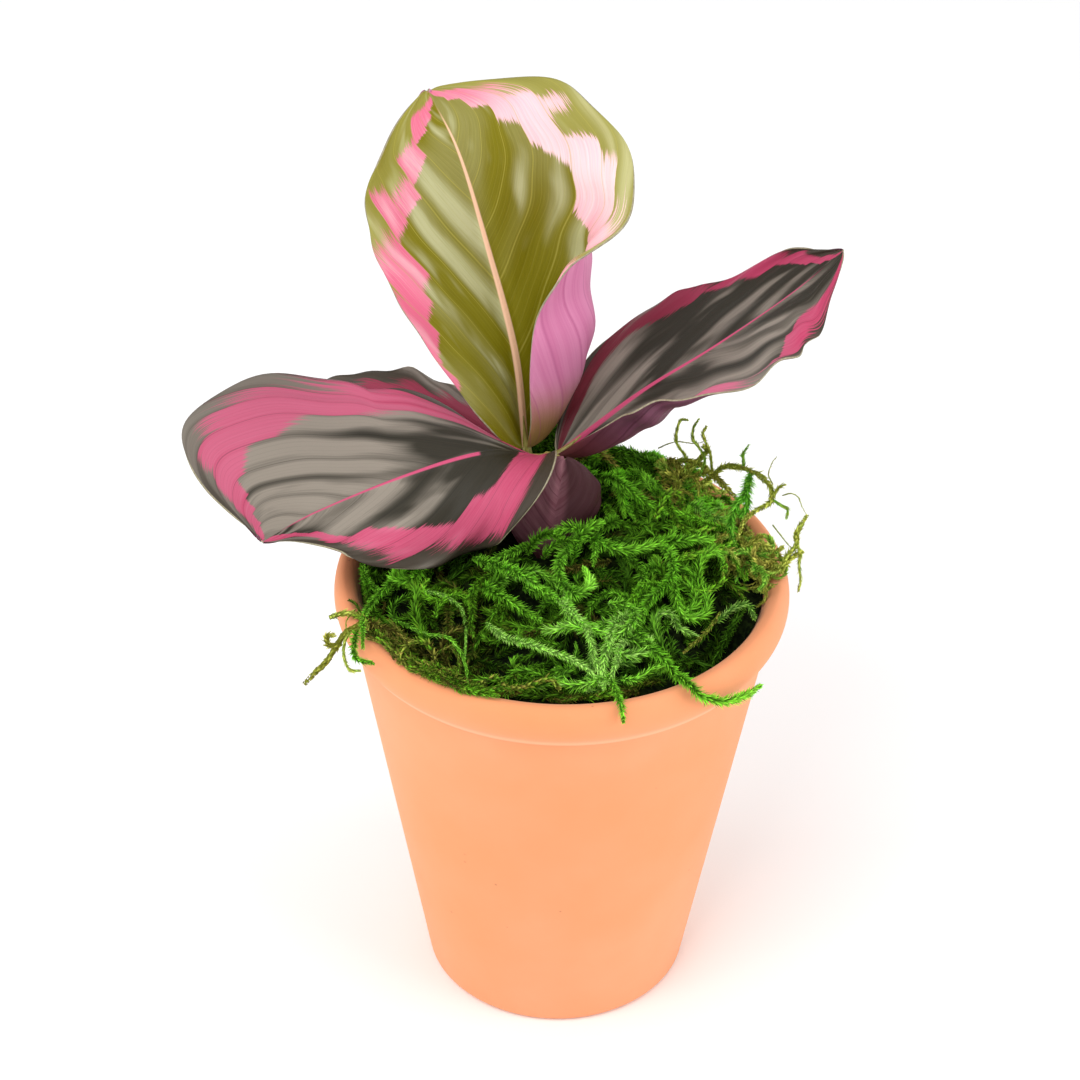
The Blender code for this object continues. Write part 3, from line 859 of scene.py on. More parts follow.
LEAVES = (
    LeafPlan(
        name="tall_leaf",
        shape=BladeShape(
            midrib=((-9.9, 17.4, 157.6), (-13, 18.6, 185.8), (-20.4, 26.5, 212.4), (-27.8, 29.8, 237.8),
                    (-35.5, 34, 252.4)),
            face=((0.46, -0.87, 0.19), (0.2, -0.98, 0.01), (0.07, -0.99, 0.07), (0.28, -0.93, 0.25)),
            half=((17, 24.5, 29, 31), (40, 53, 50, 27)),
            rise=((18, 12, 3, 1), (-21, -7, -8, -20)),
            curl=((10, 3, 3, 17), (209, 160, 50, -35)),
            fullness=(0.4, 0.6), roll=(0.15, 0.8), veins=7.0, sweep=(0.6, 0.8), edge_wave=(0.012, 0.03)),
        pattern=BladePattern(
            inner=((1.15, 1.08, 0.96, 0.86, 0.72, 0.66, 0.66, 0.48, 0.38, 0.2, 0.0),
                   (1.1, 1.1, 1.1, 1.0, 0.5, 0.48, 0.41, 0.34, 0.1)),
            outer=((1.1, 1.06, 0.98, 0.97, 0.94, 0.91, 0.86, 0.78, 0.7, 0.54, 0.1), (1.1,) * 8 + (
                1.05, 1.0, 0.92, 0.93, 0.88, 0.58, 0.78, 0.6, 0.66, 0.6, 0.3)),
            pale=((0.0, -0.1, 0.0, 0.1, 0.0), (0.5, 0.5, 0.5, 0.5, 0.4, 0.4, 0.85, 0.75, 0.6, 0.15, 0.0)),
            painted_sheen=((0.3, 0.7, 0.9, 0.7, 0.3), (0.3, 0.4, 0.6, 0.8, 0.6))),
        foot_angle=100, stalk_radius=2.0, skin=YOUNG_SKIN, underside=YOUNG_UNDERSIDE, slot="young_leaf"),
    LeafPlan(
        name="front_left_leaf",
        shape=BladeShape(
            midrib=((-4.4, 7, 161.7), (-20, 4.3, 164.4), (-40.9, -0.8, 160), (-63.7, -8.4, 153.2),
                    (-75.4, -24.7, 155.7)),
            face=((0.16, 0.02, 0.98), (0.34, -0.3, 0.89), (0.12, -0.07, 0.99), (-0.11, -0.51, 0.85)),
            half=((42, 31, 27, 19, 4), (5, 26, 47, 59, 47)),
            rise=((44, 8, -9, -4, -3), (-31, -18, -9, 4, 4)),
            curl=((-1, -80, -74, -14, 23), (-105, -62, -25, 5, -8)),
            fullness=(0.4, 0.55), roll=(0.15, 1.15), veins=7.0, sweep=(0.5, 0.95), edge_wave=(0.0, 0.02)),
        pattern=BladePattern(
            inner=((-0.5, 0.32, 0.52, 0.57, 0.5, -0.05), (0.2, 0.35, 0.52, 0.62, 0.5, 0.05)),
            outer=((0.3, 0.84, 0.79, 0.8, 0.76, 0.66), (0.7, 0.8, 0.98, 0.98, 0.88, 0.35)),
            pale=((0.1, 0.2, 0.2, 0.1, 0.1), (0.0, 0.0, 0.1, 0.2, 0.1)),
            painted_sheen=((0.0, 0.05, 0.25, 0.55, 0.6, 0.4), (0.5, 0.7, 0.6, 1.0, 1.0, 0.6)), rib_start=0.27),
        foot_angle=232, stalk_radius=1.9),
    LeafPlan(
        name="back_left_leaf",
        shape=BladeShape(
            midrib=((-14, 19.5, 148), (-23, 27.5, 150.5), (-40, 34, 149.5), (-59, 37, 148.5),
                    (-77, 38, 148.5)),
            face=((0.1, -0.5, 0.86), (0, -0.45, 0.9), (0, -0.4, 0.9)),
            half=((12, 13, 13, 12), (14, 14.3, 20.5, 25)),
            rise=((-12, -8, -4, 0), (22, 14, 2, 0)),
            curl=((0, 0, 0, 0), (0, 0, 0, 0)),
            fullness=(0.6, 0.6), roll=(0.0, 1.0), veins=8.0, sweep=(0.4, 0.6), rows=90, columns=48,
            edge_wave=(0.0, 0.03)),
        pattern=BladePattern(
            inner=((0.6, 0.6, 0.6, 0.5, 0.0), (0.1, 0.2, 0.45, 0.5, 0.2)),
            outer=((0.9, 0.9, 0.9, 0.85, 0.8), (1.0, 0.85, 0.76, 0.74, 0.7)),
            pale=((-0.8, -0.8, -0.8), (-0.8, -0.7, -0.4)), painted_sheen=((0.4, 0.4), (0.6, 0.5))),
        foot_angle=178, stalk_radius=1.5),
    LeafPlan(
        name="right_leaf",
        shape=BladeShape(
            midrib=((-1.4, 14.8, 157), (19.2, 17.7, 174.7), (37.9, 18.2, 188.8), (56.7, 22.7, 201.8),
                    (69.3, 21.8, 215.4)),
            face=((-0.54, -0.37, 0.76), (-0.68, 0.08, 0.73), (-0.87, 0.02, 0.48), (-0.73, -0.06, 0.69)),
            half=((26, 28, 23, 8), (35, 33, 31.5, 15)),
            rise=((17, 11, 10, 14), (-46, -20, -7, 4)),
            curl=((29, 16, 12, 31), (176, 70, 0, -52)),
            fullness=(0.65, 0.6), roll=(0.1, 0.9), veins=6.0, sweep=(0.75, 0.7), edge_wave=(0.02, 0.08)),
        pattern=BladePattern(
            inner=((0.3, 0.7, 0.79, 0.83, 0.66, -0.05),
                   (1.1, 1.1, 1.1, 1.0, 0.74, 0.84, 0.88, 0.6, 0.56, 0.72, 0.78)),
            outer=((0.6, 0.89, 0.96, 0.96, 0.94, 0.4),
                   (1.1, 1.1, 1.1, 1.1, 1.1, 1.0, 0.95, 0.92, 0.86, 0.94, 1.0)),
            # On the left half, pale below zero is painted shade: the band is darkened where that half
            # faces away from the light.
            pale=((-1.0, -0.9, -0.5, 0.0, 0.1), (0.1, 0.2, 0.4, 0.1, 0.0)),
            painted_sheen=((0.85, 0.75, 0.5, 0.35, 0.25, 0.2), (0.75, 0.8, 0.8, 0.75, 0.55, 0.25))),
        foot_angle=20, stalk_radius=1.7),
    LeafPlan(
        name="small_front_leaf",
        shape=BladeShape(
            midrib=((-4.6, -5.5, 136.5), (-3, -3.4, 144.8), (-1.4, -0.6, 155), (0.2, 0.6, 165.2)),
            face=((0, 0.9, 0.4), (0, 0.9, 0.1), (0, 0.9, 0.1)),
            half=((6, 15, 11), (12, 17, 13)),
            rise=((15, 10, 5), (15, 10, 5)),
            curl=((60, 50, 30), (40, 40, 20)),
            fullness=(0.4, 0.55), roll=(0.0, 1.0), veins=6.0, sweep=(0.6, 0.6), pleat=0.09,
            ruffle=0.3, rows=70, columns=48),
        pattern=BladePattern(
            inner=((0.6, 0.6, 0.0), (0.6, 0.6, 0.0)), outer=((0.9, 0.9, 0.8), (0.9, 0.9, 0.8)),
            pale=((0.0, 0.0), (0.0, 0.0))),
        foot_angle=295, stalk_radius=1.4, underside=SMALL_UNDERSIDE),
)


@dataclass
class Leaf:
    """One leaf, with its blade and its stalk."""

    plant: Plant
    plan: LeafPlan
    finishes: dict
    blade_thickness: float = 0.45
    foot_circle: float = 4.2  # How far a stalk stands from the middle of the crown,
    foot_gap: float = 0.3  # and how far above it.
    clasp: float = 0.14  # Share of the midrib that the stalk runs on under the blade.

    def blade(self) -> None:
        """Loft the blade, carry its fields to the mesh and thicken it."""
        shape_plan, pattern = self.plan.shape, self.plan.pattern
        made = shape_plan.grid()
        rows, columns = shape_plan.rows, shape_plan.columns
        shape = bmesh.new()
        bmesh.ops.create_grid(shape, x_segments=rows, y_segments=columns, size=0.5)
        flat = shape.loops.layers.uv.new("leaf")
        names = ("vein", "across", "inner", "outer", "pale", "painted_sheen", "rib")
        layers = {name: shape.verts.layers.float.new(name) for name in names}
        places = {}
        for vert in shape.verts:
            i, j = round((vert.co.x + 0.5) * rows), round((vert.co.y + 0.5) * columns)
            places[vert] = (i, j)
            t, number = float(made["t"][i]), int(made["v"][j] > 0)
            for name in ("vein", "across"):
                vert[layers[name]] = made[name][i, j]
            vert[layers["rib"]] = 1.0 if t > pattern.rib_start else 0.0
            for name in ("inner", "outer", "pale", "painted_sheen"):
                vert[layers[name]] = float(along(getattr(pattern, name)[number], t))
        for face in shape.faces:
            for loop in face.loops:
                i, j = places[loop.vert]
                loop[flat].uv = (made["t"][i], 0.5 + made["v"][j] / 2)
        for vert, (i, j) in places.items():
            vert.co = Vector(made["points"][i, j])
        bmesh.ops.reverse_faces(shape, faces=shape.faces)
        finishes = [self.finishes[finish.name]
                    for finish in (self.plan.skin, self.plan.underside, MARGIN_TISSUE)]
        item = self.plant.join(self.plan.name + "_painted_blade", shape, self.plan.slot, finishes,
                               (self.plan.name + "_blade",))
        thick = item.modifiers.new("Thickness", "SOLIDIFY")
        thick.thickness = self.blade_thickness * MM
        thick.offset = -1.0
        thick.use_even_offset = False
        thick.material_offset = Side.UNDER.value
        thick.material_offset_rim = Side.MARGIN.value

    def stalk(self, crown: Vector) -> None:
        """Run the stalk from the crown into the base of the blade.

        Args:
            crown: The middle of the crown's flat top, about the pot's axis.
        """
        made = self.plan.shape.grid()
        middle = self.plan.shape.columns // 2
        rib = made["points"][:, middle]
        angle = math.radians(self.plan.foot_angle)
        out = self.foot_circle
        foot = np.array(crown) + np.array((out * math.cos(angle), out * math.sin(angle), self.foot_gap))
        base = rib[0]
        ahead = int(np.searchsorted(made["t"], self.clasp))
        toward = unit(rib[ahead] - base)
        lift = float(base[2] - foot[2])
        bend = foot + np.array((0.0, 0.0, 0.35 * lift))
        lead = base - toward * 0.3 * lift
        steps = 22
        path = [(1 - t) ** 3 * foot + 3 * t * (1 - t) ** 2 * bend
                + 3 * t * t * (1 - t) * lead + t ** 3 * base
                for t in (k / steps for k in range(steps + 1))]
        normal = facing(made["points"])
        for k in range(1, 7):
            row = ahead * k // 6
            path.append(rib[row] - normal[row, middle] * 0.35 * min(k / 2, 1.0))
        curve = bpy.data.curves.new(self.plan.name + "_stalk_round", "CURVE")
        curve.dimensions = "3D"
        curve.bevel_depth = 1.0
        curve.bevel_resolution = 4
        curve.use_fill_caps = True
        spline = curve.splines.new("POLY")
        spline.points.add(len(path) - 1)
        for k, (knot, point) in enumerate(zip(spline.points, path)):
            knot.co = (*point, 1.0)
            share = k / (len(path) - 1)
            knot.radius = self.plan.stalk_radius * (1.0 - 0.5 * share) * (1.0 - 0.75 * ease(
                np.array((share - 0.75) / 0.25)))
        holder = bpy.data.objects.new("stalk_curve", curve)
        mesh = bpy.data.meshes.new_from_object(holder)
        bpy.data.objects.remove(holder)
        shape = bmesh.new()
        shape.from_mesh(mesh)
        bmesh.ops.remove_doubles(shape, verts=shape.verts, dist=0.001)
        bmesh.ops.recalc_face_normals(shape, faces=shape.faces)
        self.plant.join(self.plan.name + "_round_stalk", shape, "leaf_stalk",
                        [self.finishes[STALK_TISSUE.name]], (self.plan.name + "_stalk",))

    def build(self, crown: Vector) -> None:
        """Make the blade and the stalk."""
        self.blade()
        self.stalk(crown)


# ---------------------------------------------------------------- the moss


@dataclass(frozen=True)
class Mound:
    """The outer surface of the moss, about the pot's axis."""

    radius: float = 51.8
    edge: float = 131.0
    top: float = 144.0

    def height(self, x: np.ndarray, y: np.ndarray) -> np.ndarray:
        """Height above the floor, with a rise at the back and a hollow at the front right."""
        reach = np.minimum(np.hypot(x, y) / self.radius, 1.0)
        dome = self.edge + (self.top - self.edge) * (1.0 - reach ** 2.2)
        lumps = np.sin(0.21 * x + 0.6) * np.cos(0.19 * y) + 0.6 * np.sin(0.33 * y - 0.25 * x)
        back, hollow = 5.0 * bell(x, y, 16.0, 36.0, 260.0), 8.0 * bell(x, y, 40.0, -28.0, 130.0)
        return dome + 1.1 * lumps * (1.0 - reach ** 4) + back - hollow

    def route(self, places: tuple) -> np.ndarray:
        """Points from (x, y, height): over the surface, or over the floor where it is above 100."""
        return np.array([(x, y, z if z > 100 else float(self.height(x, y)) + z) for x, y, z in places])


@dataclass(frozen=True)
class MossSkin:
    """Moss leaflets, one cell thick, with painted light and shade: each is painted dark at its foot, as
    if in the mat's shade, and bright at its tip, as if lit.

    feet are the painted-shade colours and tips the painted-light colours; a frond's tint picks along
    them.
    """

    name: str
    # Colours of the painted shade at a leaflet's foot, and of the painted light at its tip, by tint.
    feet: tuple
    tips: tuple
    roughness: float = 0.6
    patch_mm: float = 11.0

    def material(self) -> bpy.types.Material:
        """Build the leaflets' material."""
        leaflet = Surface(self.name, self.roughness, IOR=1.4, Specular_IOR_Level=0.06)
        patch = leaflet.cloud(1 / (self.patch_mm * MM), 3.0, leaflet.here())
        kind = leaflet.plus(patch, 0.35, leaflet.attribute("tint"))
        kind = leaflet.sums("SUBTRACT", kind, 0.175, clamp=True)
        last = len(self.feet) - 1
        foot, tip = (leaflet.tones(kind, *((k / last, code) for k, code in enumerate(codes)))
                     for codes in (self.feet, self.tips))
        # The tip attribute is painted light: it mixes from the shaded feet to the lit tips.
        return leaflet.finish(leaflet.mixed(leaflet.attribute("tip"), foot, tip))


@dataclass(frozen=True)
class FrondKind:
    """How a frond is built: leaflets all round a thin stem.  Lean is in degrees from the stem."""

    leaflets_per_mm: float
    leaflet: float
    breadth: float
    lean: float
    stem: float


FEATHERY = FrondKind(leaflets_per_mm=8.0, leaflet=2.2, breadth=0.62, lean=52.0, stem=0.3)
PLUME = FrondKind(leaflets_per_mm=15.0, leaflet=2.5, breadth=0.78, lean=57.0, stem=0.45)
CRISP = FrondKind(leaflets_per_mm=12.0, leaflet=1.7, breadth=0.65, lean=58.0, stem=0.4)
WIRY = FrondKind(leaflets_per_mm=8.0, leaflet=1.4, breadth=0.5, lean=24.0, stem=0.42)
RAGGED = FrondKind(leaflets_per_mm=6.0, leaflet=1.6, breadth=1.1, lean=42.0, stem=0.6)
BRACT = FrondKind(leaflets_per_mm=4.0, leaflet=1.5, breadth=1.3, lean=14.0, stem=0.95)
THREAD = FrondKind(leaflets_per_mm=2.0, leaflet=0.9, breadth=0.26, lean=25.0, stem=0.2)


class Fronds:
    """A bundle of fronds, kept as arrays until they become one mesh."""

    def __init__(self, rng: np.random.Generator) -> None:
        """Start an empty bundle.

        Args:
            rng: The seeded source of every variation.
        """
        self.rng = rng
        # tips holds each corner's painted light.
        self.corners, self.faces, self.tints, self.tips = [], [], [], []
        self.total = 0
        shape = bmesh.new()
        bmesh.ops.create_cone(shape, cap_ends=True, segments=3, radius1=0.5, radius2=0.0, depth=1.0)
        bmesh.ops.remove_doubles(shape, verts=shape.verts, dist=0.001)
        bmesh.ops.triangulate(shape, faces=shape.faces)
        bmesh.ops.recalc_face_normals(shape, faces=shape.faces)
        self.cone = np.array([(v.co.z + 0.5, v.co.x, v.co.y) for v in shape.verts])
        self.cone_faces = np.array([[v.index for v in face.verts] for face in shape.faces])
        shape.free()

    def keep(self, corners: np.ndarray, faces: np.ndarray, tints: np.ndarray, tips: np.ndarray) -> None:
        """Add corners and the faces that number them."""
        self.faces.append(faces + self.total)
        self.corners.append(corners)
        self.tints.append(tints)
        self.tips.append(tips)
        self.total += len(corners)

    def grow(self, route: np.ndarray, kind: FrondKind, tint: float, samples: int = 12,
             sides: int = 3, light: float = 1.0) -> None:
        """Add one frond along a route.

        Args:
            route: Points from the frond's foot to its tip.
            kind: How it is built.
            tint: Its place along the skin's shades.
            samples: How many rings its stem has.
            sides: How many sides its stem has.
            light: How bright the painted light on its leaflets' tips gets.
        """
        rng = self.rng
        place = np.linspace(0.0, 1.0, samples)
        spine = along(route, place)
        ahead = unit(np.gradient(spine, axis=0))
        side = np.zeros_like(spine)
        side[0] = unit(np.cross(ahead[0], (0.31, 0.23, 0.92)))
        for k in range(1, samples):
            side[k] = unit(side[k - 1] - ahead[k] * np.dot(side[k - 1], ahead[k]))
        up = np.cross(ahead, side)
        length = float(np.sum(np.linalg.norm(np.diff(spine, axis=0), axis=1)))

        angles = np.arange(sides) * math.tau / sides
        thick = kind.stem * (1.0 - 0.75 * place ** 1.5) * rng.uniform(0.75, 1.15, samples)
        ring = (side[:, None] * np.cos(angles)[None, :, None]
                + up[:, None] * np.sin(angles)[None, :, None])
        stem = (spine[:, None] + ring * thick[:, None, None]).reshape(-1, 3)
        walls = []
        for k in range(samples - 1):
            for n in range(sides):
                a, b = k * sides + n, k * sides + (n + 1) % sides
                walls += [(a, b, b + sides), (a, b + sides, a + sides)]
        last = (samples - 1) * sides
        walls += [(0, n + 1, n) for n in range(1, sides - 1)]
        walls += [(last, last + n, last + n + 1) for n in range(1, sides - 1)]
        # Stems carry painted shade, darker towards the foot.
        self.keep(stem, np.array(walls), np.full(len(stem), tint),
                  np.repeat(light * (0.1 + 0.3 * place), sides))

        count = max(int(kind.leaflets_per_mm * length), 6)
        share = np.sort((np.arange(count) + rng.random(count)) / count)
        at = [np.stack([np.interp(share, place, values[:, k]) for k in range(3)], axis=1)
              for values in (spine, ahead, side, up)]
        turn = np.arange(count) * GOLDEN_TURN + rng.normal(0.0, 0.35, count)
        out = at[2] * np.cos(turn)[:, None] + at[3] * np.sin(turn)[:, None]
        size = kind.leaflet * rng.uniform(0.7, 1.2, count) * np.minimum(1.0, 0.3 + (1.0 - share) / 0.3)
        size = size * np.minimum(1.0, 0.5 + share / 0.2)
        lean = np.radians(kind.lean * (1.0 - 0.35 * share) + rng.normal(0.0, 10.0, count))
        toward = at[1] * np.cos(lean)[:, None] + out * np.sin(lean)[:, None]
        broad = np.cross(at[1], out)
        deep = np.cross(toward, broad)
        cone = self.cone
        breadth = kind.breadth * rng.uniform(0.8, 1.2, count)
        corners = (at[0][:, None] + out[:, None] * kind.stem * 0.5
                   + toward[:, None] * cone[None, :, :1] * size[:, None, None]
                   + broad[:, None] * cone[None, :, 1:2] * breadth[:, None, None]
                   + deep[:, None] * cone[None, :, 2:] * 0.4 * breadth[:, None, None])
        faces = self.cone_faces[None] + len(cone) * np.arange(count)[:, None, None]
        tints = np.repeat(np.clip(tint + rng.normal(0.0, 0.08, count), 0.0, 1.0), len(cone))
        # Painted light: each leaflet lit at random, from a shaded foot to a bright tip.
        painted_light = light * rng.uniform(0.35, 1.75, count)[:, None] * (0.1 + 0.9 * cone[None, :, 0])
        self.keep(corners.reshape(-1, 3), faces.reshape(-1, 3), tints, painted_light.reshape(-1))

    def join(self, plant: Plant, name: str, slot: str, finish: bpy.types.Material,
             nodes: tuple) -> bpy.types.Object:
        """Turn the bundle into one piece of the plant."""
        corners = np.concatenate(self.corners) * MM + np.array(plant.axis)
        mesh = bpy.data.meshes.new(name)
        mesh.from_pydata(corners, [], np.concatenate(self.faces))
        # tip carries each corner's painted light.
        for field_name, values in (("tint", self.tints), ("tip", self.tips)):
            layer = mesh.attributes.new(field_name, "FLOAT", "POINT")
            layer.data.foreach_set("value", np.concatenate(values).astype(np.float32))
        return plant.register(name, mesh, slot, [finish], nodes)


# feet are painted shade and tips painted light.
MOSS_SKIN = MossSkin(
    name="green_sheet_moss",
    feet=("1A1804", "050E01", "051A02", "0A2A04", "205A12"),
    tips=("D0C45C", "88D02C", "98F43C", "A8FF4C", "CCFA84"))
DRY_SKIN = MossSkin(
    name="dry_sheet_moss",
    feet=("4C4812", "545A12", "5A7018", "226010"),
    tips=("E0D868", "E2E664", "E6F874", "98F84C"), roughness=0.7)


@dataclass
class MossBed:
    """Loose moss over the soil: a mat below, coloured near black as painted shade between the fronds, and
    fronds that lie and curl over it.
    """

    plant: Plant
    blades: list
    mound: Mound = field(default_factory=Mound)
    seed: int = 17
    mat_depth: float = 5.2
    clearance: float = 2.8  # Least distance of a frond from a leaf.
    strewn: float = 52.5  # Greatest distance of a strewn frond's foot from the axis.
    wall: float = 51.0  # Past this distance a frond lies against the pot's wall,
    lip: float = 53.6  # and past this one on its rim.
    by_wall: float = 128.6
    on_rim: float = 131.2
    fringe_reach: float = 58.6  # How far out a strand by the rim may go.
    curl_reach: float = 59.0  # How far out and how far over the mound a dry curl may go.
    curl_rise: float = 7.5
    # Each layer's count, least and greatest height over the mound, painted light (lower layers get
    # less, as painted shade), and how far it keeps out of the hollows.
    layers: tuple = ((200, -5.2, -2.4, 0.3, 0.0), (170, -2.8, 0.0, 0.65, 0.6), (64, -0.4, 1.8, 1.0, 1.0))
    # How far the moss reaches, every 30 degrees from the left, round by the front.
    edge: tuple = (51.0, 52.6, 52.8, 51.0, 49.0, 48.0, 49.5, 54.0, 55.9, 55.9, 53.4, 51.5, 51.0)
    # Short strands by the rim: count, first and last angle, least and greatest distance from the axis.
    fringe: tuple = ((26, 200.0, 300.0, 49.0, 52.4), (54, 208.0, 250.0, 53.3, 57.0))
    # Middle and radius of each dark gap between the upper fronds.
    hollows: tuple = (((-8, -15), 5.5), ((13, -21), 6.5), ((32, 3), 4.5), ((21, -47), 4.0),
                      ((34, -34), 5.5), ((-16, -42), 4.0), ((40, -12), 3.5), ((47, -14), 5.5),
                      ((43, -25), 5.5))
    # Knots of dry curls: their middle, spread and count.
    tangles: tuple = (((34, 30, 1), 5.0, 26), ((51, 2, 1), 5.0, 40), ((43, 12, 0), 6.0, 14))

    def __post_init__(self) -> None:
        """Sort the blades' points, so that fronds can keep clear of them."""
        points = np.concatenate([blade[::2, ::2].reshape(-1, 3) for blade in self.blades])
        self.near = KDTree(len(points))
        for number, point in enumerate(points):
            self.near.insert(point, number)
        self.near.balance()
        self.rng = np.random.default_rng(self.seed)

    def mat(self) -> None:
        """The matted lower moss, a real lower layer coloured near black as painted shade, so that it
        shows as dark gaps between the fronds.
        """
        wall = [(0.0, 116.6), (49.4, 116.6), (51.2, 123.0), (53.0, 126.4)]
        lid = 140.0
        shape = turned(wall + [(radius, lid) for radius in np.linspace(51.0, 0.0, 26)], 96, closed=False)
        for vert in shape.verts:
            if vert.co.z > lid - 1.0:
                rough = noise.noise(vert.co * 0.2) * 2.0 + noise.noise(vert.co * 0.7) * 1.0
                vert.co.z = float(self.mound.height(vert.co.x, vert.co.y)) - self.mat_depth + rough
        self.plant.join("matted_moss", shape, "moss", [SHADED_MAT.material()], ("moss_bed",))

    def touches(self, route: list) -> bool:
        """Whether a route comes too near to a leaf."""
        return any(self.near.find(point)[2] < self.clearance for point in route)

    def wander(self, low: float, high: float, opening: float) -> np.ndarray | None:
        """A route for one frond that lies over the mound, or nothing where something is in its way.

        Args:
            low: Least height over the mound's surface.
            high: Greatest height over it.
            opening: How much of each hollow it keeps out of, from 0 to 1.
        """
        rng = self.rng
        reach = self.strewn * rng.uniform(0.0, 1.0) ** 0.45
        angle = rng.uniform(0.0, math.tau)
        x, y = reach * math.cos(angle), reach * math.sin(angle)
        heading = rng.uniform(0.0, math.tau)
        bend = rng.normal(0.0, 0.12)
        length = rng.uniform(12.0, 32.0)
        lift = rng.uniform(low, high)
        arch = rng.uniform(0.3, 2.6)
        dive = rng.uniform(-4.5, 1.2)
        steps = 7
        route = []
        for k in range(steps + 1):
            share = k / steps
            away = math.hypot(x, y)
            bound = float(np.interp(math.degrees(math.atan2(y, x)), range(-180, 181, 30), self.edge))
            over = min(away, bound) / max(away, 0.01)
            x, y = x * over, y * over
            z = float(self.mound.height(x, y)) + lift
            z += arch * math.sin(math.pi * share) + dive * share ** 2
            if away * over > self.wall:
                z = max(z, self.on_rim if away * over > self.lip else self.by_wall)
            route.append((x, y, z))
            heading += bend * length / steps + rng.normal(0.0, 0.2)
            x += length / steps * math.cos(heading)
            y += length / steps * math.sin(heading)
        blocked = self.touches(route) or any(
            math.hypot(x - at_x, y - at_y) < opening * radius
            for (at_x, at_y), radius in self.hollows for x, y, _ in route)
        return None if blocked else np.array(route)

    def edging(self, first: float, last: float, inner: float, outer: float) -> np.ndarray:
        """A route for one short strand that lies along the rim.

        Args:
            first: Least angle of its start, in degrees from the right.
            last: Greatest angle of its start.
            inner: Least distance from the pot's axis.
            outer: Greatest distance from it.
        """
        rng = self.rng
        start = math.radians(rng.uniform(first, last))
        turn = rng.uniform(0.1, 0.3) * (1 if rng.random() < 0.5 else -1)
        radius, wave, tilt = rng.uniform(inner, outer), rng.uniform(0.3, 1.6), rng.normal(0.0, 1.6)
        route = []
        for share in np.linspace(0.0, 1.0, 6):
            angle = start + turn * share
            out = radius + wave * math.sin(5.0 * share + start * 9.0) + tilt * share
            out = min(out, self.fringe_reach)
            lie = 127.6 if out < self.strewn else self.by_wall if out < self.lip else 130.6
            lie += 1.3 * (0.5 + 0.5 * math.sin(4.0 * share + start * 17.0)) + rng.uniform(0.0, 0.5)
            route.append((out * math.cos(angle), out * math.sin(angle), lie))
        return np.array(route)

    def curl(self, centre: tuple, spread: float) -> np.ndarray | None:
        """A route for one dry, wiry strand that curls about a place, or nothing where a leaf is near."""
        rng = self.rng
        x, y = centre[0] + rng.normal(0.0, spread * 0.55), centre[1] + rng.normal(0.0, spread * 0.55)
        place = np.array((x, y, float(self.mound.height(x, y)) + centre[2] + rng.uniform(-2.0, 3.0)))
        heading = unit(rng.normal(0.0, 1.0, 3) * (1.0, 1.0, 0.45))
        axis = unit(rng.normal(0.0, 1.0, 3))
        step = rng.uniform(0.9, 2.0)
        route = []
        for _ in range(11):
            route.append(place)
            turn = Matrix.Rotation(step * rng.uniform(0.18, 0.5), 3, Vector(axis))
            heading = np.array(turn @ Vector(heading)) + rng.normal(0.0, 0.12, 3)
            place = place + unit(heading) * step
        stray = any(math.hypot(x, y) > self.curl_reach
                    or z > self.curl_rise + self.mound.height(x, y) for x, y, z in route)
        return None if stray or self.touches(route) else np.array(route)

    def shade(self, x: float, y: float, layer: int) -> tuple:
        """A frond's tint and painted light by its place.

        It is olive and dull at the front left, pale at the front, and green elsewhere; its painted light
        is darker in patches, as painted shade, and brighter at the back right.
        """
        tint = 0.36 + 0.12 * layer + self.rng.normal(0.0, 0.09)
        olive = max(bell(x, y, -32.0, -38.0, 240.0), 0.6 * bell(x, y, 42.0, 4.0, 110.0))
        sage = bell(x, y, 13.0, -45.0, 90.0)
        light = (1.0 - 0.3 * olive) * (0.95 + 0.8 * noise.noise(Vector((x, y, 3.0)) * 0.13))
        light += 0.6 * bell(x, y, 32.0, 18.0, 340.0)
        if self.rng.random() < 0.06:
            tint = 0.0
        tint = tint * (1.0 - 0.9 * olive) + 0.35 * sage
        return float(np.clip(tint, 0.0, 1.0)), float(np.clip(light, 0.4, 1.6))

    @staticmethod
    def free_routes(count: int, source: Callable, *settings: object) -> Iterator[np.ndarray]:
        """As many routes as are wanted from a source that gives nothing where one is blocked."""
        while count:
            route = source(*settings)
            if route is not None:
                count -= 1
                yield route

    def fronds(self, finish: bpy.types.Material) -> None:
        """Strew the fronds, a quarter of the bed to a piece."""
        quarters = {name: Fronds(self.rng) for name in ("right", "back", "left", "front")}
        names = list(quarters)
        for layer, (count, low, high, light, opening) in enumerate(self.layers):
            for route in self.free_routes(count, self.wander, low, high, opening):
                x, y = route[3][:2]
                number = int(((math.atan2(y, x) + math.pi / 4) % math.tau) // (math.pi / 2))
                kind = CRISP if self.rng.random() < 0.25 else (FEATHERY, FEATHERY, PLUME)[layer]
                tint, lit = self.shade(x, y, layer)
                # Painted light of each frond's leaflets.
                lit = light * lit * self.rng.uniform(0.7, 1.0)
                quarters[names[number]].grow(route, kind, tint, light=lit)
        for count, *place in self.fringe:
            for _ in range(count):
                kind = (CRISP, THREAD, WIRY, RAGGED)[int(self.rng.integers(4))]
                route = self.edging(*place)
                # Painted light of the rim strands, at random.
                quarters["left"].grow(route, kind, self.rng.uniform(0.0, 0.3), samples=8,
                                      light=self.rng.uniform(0.2, 0.9))
        for places, kind, tint, light in LAID_FRONDS:
            quarters["front"].grow(self.mound.route(places), kind, tint, samples=22, light=light)
        for name, bundle in quarters.items():
            bundle.join(self.plant, "moss_fronds_" + name, "moss", finish, ("moss_bed",))

